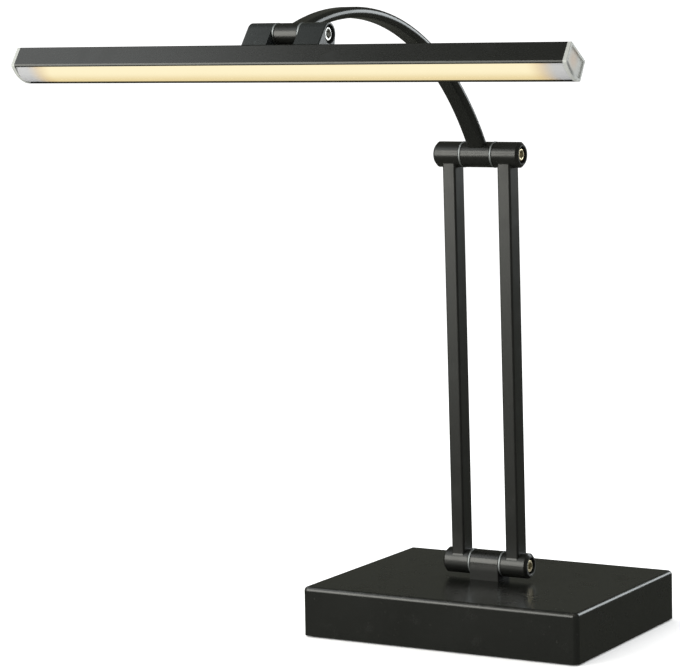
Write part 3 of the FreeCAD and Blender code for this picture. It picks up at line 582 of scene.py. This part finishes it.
@dataclass(frozen=True)
class FrostedCap(Finish):
    """Frosted clear plastic with a painted glow where the lit channel lies behind it."""

    colour: Colour = (0.40, 0.41, 0.385)
    # warm: base colour of the painted glow; glow: its emitted colour
    warm: Colour = (0.30, 0.275, 0.225)
    # dark: colour of the painted shade band inside the rim
    dark: Colour = (0.09, 0.09, 0.075)
    glow: Colour = (0.60, 0.37, 0.25)
    back: Point = (-0.2341, 0.3682)
    glow_across: float = -1.7 * MM
    glow_depth: float = 6.5 * MM
    glow_core: float = 0.5 * MM
    glow_reach: float = 7.5 * MM
    # bow, bow_depth, band and band_fade place the painted shade band inside the rim
    bow: float = 21.7 * MM
    bow_depth: float = -7.15 * MM
    band: float = 3.4 * MM
    band_fade: Span = (4.0 * MM, -2.0 * MM)
    half_face: float = 8.8 * MM
    frost: float = 0.22 * MM
    cloud: float = 3.0 * MM
    relief: float = 0.015 * MM

    def paint(self, tree: ShaderTree) -> None:
        """The painted glow falls off from near the middle of the face, and frost is a fine relief.

        A painted shade makes a dark band inside the bowed part of the rim, on the side away
        from the hinge.
        """
        across = tree.across_head(self.back)
        depth = tree.deep_in_head(self.back)
        off = hypotenuse(across - self.glow_across, depth - self.glow_depth)
        near = 1.0 - off.fade(self.glow_core, self.glow_reach)
        out = hypotenuse(across, depth - self.bow_depth)
        # painted shade: a dark band just inside the rim's bow, away from the hinge
        inside = out.fade(self.bow - self.band, self.bow - 0.7 * self.band) * (1.0 - out.above(self.bow))
        edge = inside * across.fade(*self.band_fade) * across.above(-self.half_face)
        frost = tree.noise(self.frost, 3.0)
        cloud = tree.noise(self.cloud, 3.0)
        tint = tree.vary(cloud, self.colour, 0.93, 1.06)
        tree.shader.set({
            # base colour: painted glow tint near the middle, painted shade in the band by the rim
            "Base Color": tree.blend(edge, tree.blend(near, tint, self.warm), self.dark),
            "Roughness": 0.32 + 0.16 * frost,
            "Transmission Weight": 0.25,
            "IOR": 1.49,
            # painted glow: the cap emits light where the strip lies behind it
            "Emission Color": tree.blend(near, BLACK, self.glow),
            "Emission Strength": 0.18,
        })
        tree.bump(frost, self.relief)


@dataclass(frozen=True)
class LitOpal(Finish):
    """Opal plastic lit warm from behind, but for its ends, where the strip stops short."""

    colour: Colour = (0.32, 0.32, 0.325)
    bright: Colour = (0.95, 0.84, 0.55)
    dim: Colour = (0.78, 0.63, 0.33)
    leaving: Colour = (0.93, 0.55, 0.06)
    lit_half: float = 159.0 * MM
    lit_middle: float = 1.0 * MM
    edge: float = 9.0 * MM
    slant: float = 0.05
    middle: Point = (-0.2406, 0.3583)
    rear_fade: Span = (-4.5 * MM, 3.5 * MM)
    behind: Colour = (0.03, 0.03, 0.025)
    frost: float = 0.3 * MM
    milk: float = 22 * MM
    relief: float = 0.01 * MM

    def paint(self, tree: ShaderTree) -> None:
        """Light fades with the distance past the strip's end and a little towards the rear edge."""
        across = tree.across_head(self.middle)
        frost = tree.noise(self.frost, 2.0)
        milk = tree.noise(self.milk, 2.0)
        along = abs(tree.split(tree.place)[0] - self.lit_middle - across * self.slant)
        lit = 1.0 - along.fade(self.lit_half - self.edge, self.lit_half + self.edge)
        rear = across.fade(*self.rear_fade)
        glow = tree.blend(lit, self.leaving, tree.blend(rear + 0.1 * milk, self.bright, self.dim))
        tree.shader.set({
            "Base Color": tree.blend(lit, self.colour, self.behind),
            "Roughness": 0.42 + 0.08 * frost + 0.04 * milk,
            "Emission Color": tree.blend(lit, BLACK, glow),
            "Emission Strength": 1.0,
        })
        tree.bump(frost, self.relief)


@dataclass(frozen=True)
class CircuitBoard(Finish):
    """Solder mask over copper tracks."""

    mask: Colour
    track: Colour
    pitch: float = 2.4 * MM
    cloth: float = 0.3 * MM
    relief: float = 0.03 * MM

    def paint(self, tree: ShaderTree) -> None:
        """Tracks are the joints of a brick pattern laid along X, standing a little proud."""
        values = {
            "Vector": tree.place,
            "Color1": BLACK,
            "Color2": BLACK,
            "Mortar": WHITE,
            "Scale": 1.0 / self.pitch,
            "Mortar Size": 0.14,
            "Brick Width": 5.0,
            "Row Height": 1.0,
        }
        tracks = tree.split(tree.node("ShaderNodeTexBrick", {}, values)["Color"])[0]
        cloth = tree.noise(self.cloth, 1.0)
        tint = tree.blend(tracks, self.mask, self.track)
        tree.shader.set({
            "Base Color": tree.blend(cloth * 0.2, tint, shade(self.mask, 0.7)),
            "Roughness": 0.30 + 0.10 * cloth,
            "Coat Weight": 0.3,
        })
        tree.bump(tracks * 0.8 + cloth * 0.2, self.relief)


@dataclass(frozen=True)
class PhosphorChip(Finish):
    """White chip frames with a lit phosphor square in each."""

    rim: Colour = (0.80, 0.80, 0.76)
    phosphor: Colour = (1.0, 0.75, 0.25)
    middle: Point = (-0.2317, 0.3648)
    window: Span = (0.95 * MM, 1.15 * MM)
    grain: float = 0.15 * MM

    def paint(self, tree: ShaderTree) -> None:
        """The phosphor lies within a band along the strip, with a grain of its own."""
        inside = 1.0 - abs(tree.across_head(self.middle)).fade(*self.window)
        grain = tree.noise(self.grain, 2.0)
        tint = tree.vary(grain, self.phosphor, 0.8, 1.0)
        tree.shader.set({
            "Base Color": tree.blend(inside, self.rim, tint),
            "Roughness": 0.35 + 0.15 * grain,
            "Emission Color": tree.blend(inside, BLACK, self.phosphor),
            "Emission Strength": 2.0,
        })


class Palette:
    """The finishes used on the lamp, by what they are used for."""

    base = EdgedPaint("base_lacquer", roughness=0.19)
    barrel = SatinPaint("barrel_lacquer", roughness=0.23, peel=2.0 * MM)
    boss = BossPaint("boss_lacquer", roughness=0.20, peel=2.0 * MM)
    bar = LinedPaint("bar_lacquer", roughness=0.23)
    arm = SatinPaint("arm_lacquer", roughness=0.17)
    channel = LinedPaint(
        "channel_powder_coat", roughness=0.20, line=0.6 * MM, stretch=(0.005, 1.0, 1.0), depth=0.06
    )
    # a lighter, bluer black than the channel's coat: the lightening is painted light on the lugs' lit fronts
    lug = SatinPaint("lug_powder_coat_painted_light", (0.0125, 0.0145, 0.0145), 0.20)
    sheet = PlatedSteel("zinc_plate")
    casting = SandCasting("cast_weight")
    felt = PressedFelt("felt_nap")
    black_plastic = MouldedPlastic("black_moulding")
    rocker = MouldedPlastic("rocker_moulding", (0.012, 0.012, 0.013), roughness=0.22, relief=0.006 * MM)
    component = MouldedPlastic("component_moulding", (0.03, 0.03, 0.034), roughness=0.5)
    cap = FrostedCap("frosted_cap_painted_light")
    opal = LitOpal("lit_opal")
    driver = CircuitBoard("driver_mask", (0.012, 0.075, 0.03), (0.02, 0.12, 0.045))
    strip = CircuitBoard("strip_mask", (0.78, 0.78, 0.75), (0.70, 0.70, 0.66))
    chip = PhosphorChip("phosphor_chip")


def dress(finish: Finish, *nodes: str) -> None:
    """Give CAD nodes their material.

    Args:
        finish: What they are finished with.
        *nodes: Names of the nodes.
    """
    for node in nodes:
        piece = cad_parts[node]
        if not piece.material_slots:
            piece.data.materials.append(None)
        for slot in piece.material_slots:
            slot.material = finish.material()
        LOG.info("%s: dressed in %s", node, finish.name)


def hexagon(across_flats: float, angles: np.ndarray) -> np.ndarray:
    """Radius of a hexagon: half its width across flats over the cosine of the angle from the nearest flat."""
    turn = np.mod(angles + math.pi / 6, math.pi / 3) - math.pi / 6
    return across_flats / 2 / np.cos(turn)


class GridMesh:
    """Mesh from a grid of points, made as whole arrays."""

    @staticmethod
    def around_x(x: np.ndarray, radius: np.ndarray, angles: np.ndarray, axis: Point) -> np.ndarray:
        """Points at a radius round a line along X.

        Each point is (x, y0 + r cos a, z0 + r sin a), for stations x, radii r, angles a in radians
        and the axis (y0, z0).

        Args:
            x: Station of each point.
            radius: Radius of each point.
            angles: Angle of each point.
            axis: The line.

        Returns:
            The points as one array with a last axis of three.
        """
        x, radius, angles = np.broadcast_arrays(x, radius, angles)
        y = axis[0] + radius * np.cos(angles)
        z = axis[1] + radius * np.sin(angles)
        return np.stack([x, y, z], axis=-1)

    @staticmethod
    def quads(rows: int, columns: int, closed_rows: bool) -> np.ndarray:
        """Corner numbers of a grid's faces, whose columns always close on themselves.

        Args:
            rows: Rows of points.
            columns: Points in a row.
            closed_rows: Whether the last row joins the first.

        Returns:
            An array with four corners a face.
        """
        last = rows if closed_rows else rows - 1
        row, column = np.meshgrid(np.arange(last), np.arange(columns), indexing="ij")
        below = np.mod(row + 1, rows)
        beside = np.mod(column + 1, columns)
        here, under = row * columns, below * columns
        corners = [here + column, here + beside, under + beside, under + column]
        return np.stack(corners, axis=-1).reshape(-1, 4)

    @staticmethod
    def volume(points: np.ndarray, quads: np.ndarray) -> float:
        """Signed volume inside quads: a sixth of the sum of a . (b x c) over their two triangles."""
        a, b, c, d = (points[quads[:, k]] for k in range(4))
        return float(np.sum(a * np.cross(b, c)) + np.sum(a * np.cross(c, d))) / 6

    @classmethod
    def build(cls, name: str, grids: List[np.ndarray], closed_rows: bool) -> bpy.types.Object:
        """Make one object of one or more closed surfaces.

        A surface whose rows don't close on themselves starts and ends in a tiny ring, which gets a
        centre point and a fan, so that both poles are closed.

        Args:
            name: Name of the object.
            grids: Arrays of points with rows, columns and three parts.
            closed_rows: Whether the rows close on themselves, as on a ring.

        Returns:
            The new object, smooth, at the origin.
        """
        vertices: List[np.ndarray] = []
        faces: List[np.ndarray] = []
        fans: List[np.ndarray] = []
        offset = 0
        for grid in grids:
            rows, columns, _ = grid.shape
            points = grid.reshape(-1, 3)
            quads = cls.quads(rows, columns, closed_rows)
            flip = cls.volume(points, quads) < 0
            poles = np.empty((0, 3))
            if not closed_rows:
                poles = np.stack([grid[0].mean(0), grid[-1].mean(0)])
                here = np.arange(columns)
                beside = np.mod(here + 1, columns)
                start = np.stack([np.full(columns, rows * columns), beside, here], axis=-1)
                tail = (rows - 1) * columns
                end = np.stack([np.full(columns, rows * columns + 1), tail + here, tail + beside], axis=-1)
                fan = np.concatenate([start, end])
                fans.append((fan[:, ::-1] if flip else fan) + offset)
            faces.append((quads[:, ::-1] if flip else quads) + offset)
            vertices.append(np.concatenate([points, poles]))
            offset += len(points) + len(poles)
        return cls._object(name, np.concatenate(vertices), faces + fans)

    @staticmethod
    def _object(name: str, vertices: np.ndarray, faces: List[np.ndarray]) -> bpy.types.Object:
        """Put vertices and faces of three or four corners into a new object."""
        mesh = bpy.data.meshes.new(name)
        mesh.vertices.add(len(vertices))
        mesh.vertices.foreach_set("co", vertices.astype(np.float32).ravel())
        corners = np.concatenate([block.ravel() for block in faces])
        totals = np.concatenate([np.full(len(block), block.shape[1]) for block in faces])
        mesh.loops.add(len(corners))
        mesh.loops.foreach_set("vertex_index", corners.astype(np.int32))
        mesh.polygons.add(len(totals))
        mesh.polygons.foreach_set("loop_start", (np.cumsum(totals) - totals).astype(np.int32))
        mesh.polygons.foreach_set("use_smooth", np.ones(len(totals), dtype=bool))
        mesh.update(calc_edges=True)
        mesh.validate()
        piece = bpy.data.objects.new(name, mesh)
        bpy.context.scene.collection.objects.link(piece)
        return piece


def settle(
    piece: bpy.types.Object, body: str, finish: Finish, replaced: Sequence[str] = ()
) -> None:
    """Put a new piece on its body, in its finish, in place of any nodes it stands for.

    Args:
        piece: The new object.
        body: Body it rides on.
        finish: Its finish.
        replaced: Nodes it replaces.
    """
    piece.data.materials.append(finish.material())
    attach(piece, body)
    if replaced:
        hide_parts(*replaced)
    LOG.info("%s: %d faces on body %s", piece.name, len(piece.data.polygons), body)


def area_light(
    name: str, size: Tuple[float, float], energy: float, colour: Colour
) -> bpy.types.Object:
    """Add a rectangular light that the camera doesn't see.

    Args:
        name: Name of the light.
        size: Its width and height.
        energy: Its power in watts.
        colour: Its colour.

    Returns:
        The new object, at the origin.
    """
    lamp = bpy.data.lights.new(name, "AREA")
    lamp.shape = "RECTANGLE"
    lamp.size, lamp.size_y = size
    lamp.energy = energy
    lamp.color = colour
    light = bpy.data.objects.new(name, lamp)
    bpy.context.scene.collection.objects.link(light)
    light.visible_camera = False
    return light


@dataclass
class HingeHardware:
    """Bolt, nut and washers of one hinge, with the detail that the solids leave out."""

    hinge: Hinge
    shank_radius: float = 2.5 * MM
    neck_fillet: float = 0.02 * MM
    head_radius: float = 4.0 * MM
    head_height: float = 3.0 * MM
    head_rounding: float = 0.7 * MM
    edge_break: float = 0.05 * MM
    socket_flats: float = 4.0 * MM
    socket_depth: float = 1.8 * MM
    socket_chamfer: float = 0.18 * MM
    socket_crease: float = 0.03 * MM
    drill_radius: float = 1.0 * MM
    drill_depth: float = 0.35 * MM
    pole_radius: float = 0.05 * MM
    thread_pitch: float = 0.8 * MM
    thread_depth: float = 0.42 * MM
    thread_length: float = 9.0 * MM
    thread_rows: int = 120
    tip_length: float = 0.5 * MM
    tip_taper: float = 0.7 * MM
    nut_flats: float = 8.0 * MM
    nut_chamfer: float = 0.55 * MM
    nut_crown: float = 3.94 * MM
    nut_countersink: float = 0.3 * MM
    bore_play: float = 0.03 * MM
    washer_thickness: float = 1.3 * MM
    washer_rounding: float = 0.28 * MM
    columns: int = 72
    nut_metal: Colour = (0.74, 0.74, 0.73)
    washer_metal: Colour = (0.42, 0.44, 0.45)
    bright_metal: Colour = (0.80, 0.79, 0.77)
    yellow_metal: Colour = (0.72, 0.62, 0.42)

    def node(self, what: str) -> str:
        """Name of the hinge's node of that kind."""
        return f"{self.hinge.prefix}_{what}"

    def extent(self, what: str) -> Tuple[float, float, Point]:
        """Stations where a node starts and ends along X, and its axis."""
        low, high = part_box(self.node(what))
        return low.x, high.x, ((low.y + high.y) / 2, (low.z + high.z) / 2)

    @property
    def angles(self) -> np.ndarray:
        """Angles of the columns round the axis, as one row."""
        return np.linspace(0.0, 2 * math.pi, self.columns, endpoint=False)[None, :]

    def finish(self, kind: str, colour: Colour, axis: Point, roughness: float) -> Finish:
        """Turned metal centred on the hinge's axis."""
        return TurnedMetal(self.node(f"{kind}_metal"), colour, axis, roughness)

    def turned(self, rows: List[Tuple[float, np.ndarray]], axis: Point) -> np.ndarray:
        """Points round the hinge's axis, from rows of one station and its radii each."""
        stations, radii = zip(*rows)
        return GridMesh.around_x(np.array(stations)[:, None], np.concatenate(radii), self.angles, axis)

    def build_bolt(self) -> None:
        """Bolt from the socket's floor, over the head and down the shank to the threaded tip.

        The socket's walls follow the hexagon's radius. The thread's radius is the shank's less its
        depth times how far the phase, station over pitch plus angle over a turn, is from a crest.
        """
        tip, face, axis = self.extent("pivot_bolt")
        angles = self.angles
        six = hexagon(self.socket_flats, angles)
        seat = face - self.head_height
        floor = face - self.socket_depth
        ring = np.ones_like(angles)
        rounding = self.head_rounding
        rows = [
            (floor - self.drill_depth, ring * self.pole_radius),
            (floor, ring * self.drill_radius),
            (floor, six - self.socket_crease),
            (floor + self.socket_crease, six),
            (face - self.socket_chamfer, six),
            (face, six + self.socket_chamfer),
        ]
        rows += [
            (face - rounding * (1 - math.cos(a)), ring * (self.head_radius - rounding * (1 - math.sin(a))))
            for a in np.linspace(0.0, math.pi / 2, 6)
        ]
        rows += [
            (seat + self.edge_break, ring * self.head_radius),
            (seat, ring * (self.head_radius - self.edge_break)),
            (seat, ring * (self.shank_radius + self.neck_fillet)),
            (seat - self.edge_break, ring * self.shank_radius),
        ]
        stations = np.linspace(tip + self.thread_length, tip + self.tip_length, self.thread_rows)
        phase = stations[:, None] / self.thread_pitch + angles / (2 * math.pi)
        depth = self.thread_depth * np.abs(2 * np.mod(phase, 1.0) - 1)
        run_in = np.clip((tip + self.thread_length - stations) / self.thread_pitch, 0.0, 1.0)[:, None]
        thread = self.shank_radius - depth * run_in
        rows += [(station, radius[None, :]) for station, radius in zip(stations, thread)]
        rows.append((tip, ring * (self.shank_radius - self.tip_taper)))
        rows.append((tip, ring * self.pole_radius))
        bolt = GridMesh.build(self.node("bolt_detail"), [self.turned(rows, axis)], False)
        bright = self.hinge is Hinge.HEAD
        finish = self.finish("bolt", self.bright_metal if bright else self.yellow_metal, axis, 0.22)
        settle(bolt, self.hinge.body, finish, [self.node("pivot_bolt")])

    def build_nut(self) -> None:
        """Nut whose radius is the smaller of its hexagon's and of the cone that chamfers its corners."""
        low, high, axis = self.extent("pivot_nut")
        six = hexagon(self.nut_flats, self.angles)
        bore = self.shank_radius + self.bore_play
        mouth = bore + self.nut_countersink
        depths = np.linspace(0.0, self.nut_chamfer, 6)
        ring = np.ones_like(six)
        flank = [(d, np.minimum(six, self.nut_crown + d * math.sqrt(3))) for d in depths]
        rows = [(high, ring * mouth)]
        rows += [(high - d, radius) for d, radius in flank]
        rows += [(low + d, radius) for d, radius in flank[::-1]]
        rows += [(low, ring * mouth)]
        rows += [(low + self.nut_countersink, ring * bore), (high - self.nut_countersink, ring * bore)]
        nut = GridMesh.build(self.node("nut_detail"), [self.turned(rows, axis)], True)
        finish = self.finish("nut", self.nut_metal, axis, 0.30)
        settle(nut, self.hinge.body, finish, [self.node("pivot_nut")])

    def build_washers(self) -> None:
        """Two washers, each a rectangle with round corners carried round the axis."""
        low, high, axis = self.extent("washers")
        box_low, box_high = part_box(self.node("washers"))
        outer = (box_high.z - box_low.z) / 2
        inner = self.shank_radius + self.bore_play
        thick = self.washer_thickness
        corner = self.washer_rounding
        turn = np.linspace(0.0, math.pi / 2, 5)
        profile = []
        for quarter, (sx, sr) in enumerate(((1, 1), (-1, 1), (-1, -1), (1, -1))):
            angle = turn + quarter * math.pi / 2
            middle_x = sx * (thick / 2 - corner)
            middle_r = (outer - corner) if sr > 0 else (inner + corner)
            round_x = middle_x + corner * np.cos(angle)
            round_r = middle_r + corner * np.sin(angle)
            profile.append(np.stack([round_x, round_r], axis=-1))
        outline = np.concatenate(profile)
        grids = [
            GridMesh.around_x(outline[:, :1] + centre, outline[:, 1:], self.angles, axis)
            for centre in (low + thick / 2, high - thick / 2)
        ]
        rings = GridMesh.build(self.node("washer_rings"), grids, True)
        finish = self.finish("washer", self.washer_metal, axis, 0.50)
        settle(rings, self.hinge.body, finish, [self.node("washers")])

    def build(self) -> None:
        """All the hardware of the hinge."""
        self.build_bolt()
        self.build_nut()
        self.build_washers()


@dataclass
class BaseAssembly:
    """Housing, weight, bottom plate and the electrical parts in the base."""

    bore_depth: float = 9.5 * MM
    spring_width: float = 1.4 * MM
    spring_thickness: float = 0.25 * MM
    spring_length: float = 6.5 * MM
    spring_gap: float = 0.6 * MM
    spring_drop: float = 2.6 * MM
    spring_bow: float = 0.75 * MM
    end_taper: float = 12.0
    least_section: float = 0.05
    rows: int = 40
    columns: int = 16

    def dress_nodes(self) -> None:
        """Finishes of the solids that show as they are."""
        dress(Palette.base, "base_housing")
        dress(Palette.boss, "knuckle_block")
        dress(Palette.casting, "base_weight")
        dress(Palette.felt, "felt_pad")
        dress(Palette.sheet, "base_plate", "plate_screws", "weight_screws", "knuckle_screws")
        dress(Palette.sheet, "board_screws", "board_pillars")
        dress(Palette.driver, "driver_board")
        dress(Palette.component, "driver_parts")
        dress(Palette.black_plastic, "power_socket", "switch_frame")
        dress(Palette.rocker, "switch_rocker")
        low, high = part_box("power_socket_pin")
        centre = ((low.y + high.y) / 2, (low.z + high.z) / 2)
        dress(TurnedMetal("socket_pin_metal", (0.80, 0.62, 0.32), centre, 0.2), "power_socket_pin")
        dress(TurnedMetal("socket_nut_metal", (0.72, 0.72, 0.71), centre, 0.3), "power_socket_nut")

    def build_spring(self) -> None:
        """Sprung side contact in the socket's bore.

        The strip's middle line bows inwards as a sine over its length, and its section is a flat
        oval carried along that line.
        """
        low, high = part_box("power_socket")
        x0 = (low.x + high.x) / 2
        start = high.y - self.bore_depth + self.spring_gap
        along = np.linspace(0.0, 1.0, self.rows)[:, None]
        angles = np.linspace(0.0, 2 * math.pi, self.columns, endpoint=False)[None, :]
        drop = self.spring_drop - self.spring_bow * np.sin(math.pi * along)
        scale = np.clip(np.minimum(along, 1 - along) * self.end_taper, self.least_section, 1.0)
        x = x0 + self.spring_width / 2 * scale * np.cos(angles)
        y = np.broadcast_to(start + self.spring_length * along, x.shape)
        z = (low.z + high.z) / 2 - drop + self.spring_thickness / 2 * scale * np.sin(angles)
        spring = GridMesh.build("socket_side_contact", [np.stack([x, y, z], axis=-1)], False)
        metal = TurnedMetal("contact_spring_metal", (0.82, 0.66, 0.38), (start, (low.z + high.z) / 2), 0.18)
        settle(spring, "base", metal)

    def build(self) -> None:
        """The whole base."""
        self.dress_nodes()
        self.build_spring()


@dataclass
class PostAssembly:
    """Two bars between four outer barrels."""

    def build(self) -> None:
        """Dress the bars and barrels and fit the hardware of both hinges."""
        for side in Side:
            name = side.name.lower()
            dress(Palette.bar, f"{name}_bar")
            dress(Palette.barrel, f"lower_{name}_barrel", f"upper_{name}_barrel")
        HingeHardware(Hinge.LOWER).build()
        HingeHardware(Hinge.UPPER).build()


@dataclass
class ArmAssembly:
    """Curved tube between its two barrels."""

    def build(self) -> None:
        """Dress the tube and its barrels."""
        dress(Palette.arm, "arm_tube")
        dress(Palette.barrel, "arm_foot_barrel", "arm_tip_barrel")


@dataclass
class HeadAssembly:
    """Channel, light strip, diffuser, end caps and the lugs that carry them."""

    glow_size: Tuple[float, float] = (300 * MM, 15 * MM)
    glow_standoff: float = 4.5 * MM
    glow_power: float = 0.10
    glow_colour: Colour = (1.0, 0.86, 0.62)

    def build_glow(self) -> None:
        """Light that the diffuser throws, just clear of its crown and hidden from the camera."""
        low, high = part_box("diffuser")
        turn = math.radians(HEAD_TILT)
        outward = Vector((0.0, -math.sin(turn), -math.cos(turn)))
        across = Vector((0.0, math.cos(turn), -math.sin(turn)))
        middle = Vector((0.0, (low.y + high.y) / 2, (low.z + high.z) / 2)) + outward * self.glow_standoff
        glow = area_light("strip_glow", self.glow_size, self.glow_power, self.glow_colour)
        turned = Matrix((Vector((1, 0, 0)), -across, -outward)).transposed()
        glow.matrix_world = Matrix.Translation(middle) @ turned.to_4x4()
        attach(glow, "head")

    def build(self) -> None:
        """The whole head."""
        dress(Palette.channel, "head_housing")
        dress(Palette.strip, "led_strip")
        dress(Palette.chip, "led_chips")
        dress(Palette.opal, "diffuser")
        dress(Palette.sheet, "lug_screws")
        for side in Side:
            name = side.name.lower()
            dress(Palette.lug, f"{name}_lug")
            dress(Palette.cap, f"{name}_end_cap")
        HingeHardware(Hinge.HEAD).build()
        self.build_glow()


@dataclass(frozen=True)
class Softbox:
    """A rectangular studio light that looks at a point."""

    name: str
    place: Tuple[float, float, float]
    size: Tuple[float, float]
    energy: float
    colour: Colour
    target: Tuple[float, float, float] = (0.0, -0.1, 0.25)

    def build(self) -> None:
        """Add the light and aim it."""
        box = area_light(self.name, self.size, self.energy, self.colour)
        box.location = self.place
        aim = Vector(self.target) - Vector(self.place)
        box.rotation_euler = aim.to_track_quat("-Z", "Y").to_euler()
        LOG.info("%s: %.0f W", self.name, self.energy)


@dataclass
class Studio:
    """Pale floor, soft lights and the camera at the photograph's view."""

    azimuth: float = 0.522
    elevation: float = 0.1169
    roll: float = -0.0193
    place: Tuple[float, float, float] = (0.7955, -1.5519, 0.39415)
    focal_pixels: float = 2801.27
    middle_pixel: Tuple[float, float] = (351.69, 333.57)
    image: Tuple[int, int] = (680, 672)
    floor_radius: float = 9.0
    floor_edge: float = 0.01
    floor_columns: int = 96
    ambient: Colour = (1.2, 1.2, 1.2)
    reflected: Colour = (0.10, 0.103, 0.086)
    softboxes: Tuple[Softbox, ...] = (
        Softbox("left_front_softbox", (-0.92, -1.47, 0.65), (1.0, 1.2), 22.5, (1.0, 1.0, 0.93)),
        Softbox("left_top_softbox", (-0.90, -0.40, 1.05), (1.2, 0.6), 4.2, (0.96, 0.99, 1.0)),
        Softbox("back_softbox", (0.71, 1.34, 0.68), (0.75, 0.72), 8.2, (0.92, 0.98, 1.0), (0.0, 0.0, 0.3)),
    )

    def build_camera(self) -> None:
        """Camera from the view fitted to the photograph: two angles, a roll, a place and a lens."""
        a, e, r = self.azimuth, self.elevation, self.roll
        back = Vector((math.sin(a) * math.cos(e), -math.cos(a) * math.cos(e), math.sin(e)))
        right = Vector((math.cos(a), math.sin(a), 0.0))
        up = back.cross(right).normalized()
        turned_right = right * math.cos(r) + up * math.sin(r)
        turned_up = up * math.cos(r) - right * math.sin(r)
        data = bpy.data.cameras.new("photo_view")
        data.sensor_fit = "HORIZONTAL"
        data.sensor_width = 36.0
        data.lens = self.focal_pixels / self.image[0] * data.sensor_width
        data.shift_x = (self.image[0] / 2 - self.middle_pixel[0]) / self.image[0]
        data.shift_y = (self.middle_pixel[1] - self.image[1] / 2) / self.image[0]
        data.clip_end = 60.0
        camera = bpy.data.objects.new("photo_view", data)
        bpy.context.scene.collection.objects.link(camera)
        turn = Matrix((turned_right, turned_up, back)).transposed().to_4x4()
        camera.matrix_world = Matrix.Translation(Vector(self.place)) @ turn
        bpy.context.scene.camera = camera

    def build_floor(self) -> None:
        """Round floor that glows a little, as a light table: rings of points out to its edge.

        The last two rings lie close together, so that smooth shading bends only at the edge.
        """
        angles = np.linspace(0.0, 2 * math.pi, self.floor_columns, endpoint=False)[None, :]
        radii = [MM, 1.0, 3.0, self.floor_radius - self.floor_edge, self.floor_radius]
        radius = np.array(radii)[:, None]
        x = radius * np.cos(angles)
        y = radius * np.sin(angles)
        top = np.stack([x, y, np.zeros_like(x)], axis=-1)
        under = np.stack([x, y, np.full_like(x, -self.floor_edge)], axis=-1)[::-1]
        floor = GridMesh.build("studio_floor", [np.concatenate([top, under])], False)
        tree = ShaderTree("studio_floor_paint")
        cloud = tree.noise(0.6, 2.0)
        tree.shader.set({
            "Base Color": tree.blend(cloud, (0.88, 0.88, 0.88), (0.90, 0.90, 0.90)),
            "Roughness": 0.85 + 0.05 * cloud,
            "Specular IOR Level": 0.0,
            "Emission Color": WHITE,
            "Emission Strength": 0.10,
        })
        floor.data.materials.append(tree.material)
        floor.visible_glossy = False
        floor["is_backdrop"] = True

    def build_world(self) -> None:
        """White surroundings that light evenly, but reflect as the dark room of a studio."""
        world = bpy.data.worlds.new("studio")
        world.use_nodes = True
        nodes, links = world.node_tree.nodes, world.node_tree.links
        background = nodes["Background"]
        path = nodes.new("ShaderNodeLightPath")
        mix = nodes.new("ShaderNodeMix")
        mix.data_type = "RGBA"
        mix.inputs[MixSocket.LOW.value].default_value = (*self.ambient, 1.0)
        mix.inputs[MixSocket.HIGH.value].default_value = (*self.reflected, 1.0)
        links.new(path.outputs["Is Glossy Ray"], mix.inputs[MixSocket.SHARE.value])
        links.new(mix.outputs[MixSocket.RESULT.value], background.inputs["Color"])
        bpy.context.scene.world = world

    def build(self) -> None:
        """Everything that isn't the lamp."""
        view = bpy.context.scene.view_settings
        view.view_transform = "Standard"
        view.look = "None"
        self.build_world()
        self.build_floor()
        for softbox in self.softboxes:
            softbox.build()
        self.build_camera()


def corners() -> List[List[float]]:
    """Lowest and highest corner of what is shown, as plain lists."""
    return [[float(value) for value in corner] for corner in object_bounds()]


def main() -> None:
    """Build the assemblies in order."""
    logging.basicConfig(level=logging.INFO, format="%(name)s: %(message)s")
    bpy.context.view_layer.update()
    for assembly in (BaseAssembly(), PostAssembly(), ArmAssembly(), HeadAssembly(), Studio()):
        assembly.build()
        LOG.info("%s built", type(assembly).__name__)


if __name__ == "__main__":
    main()
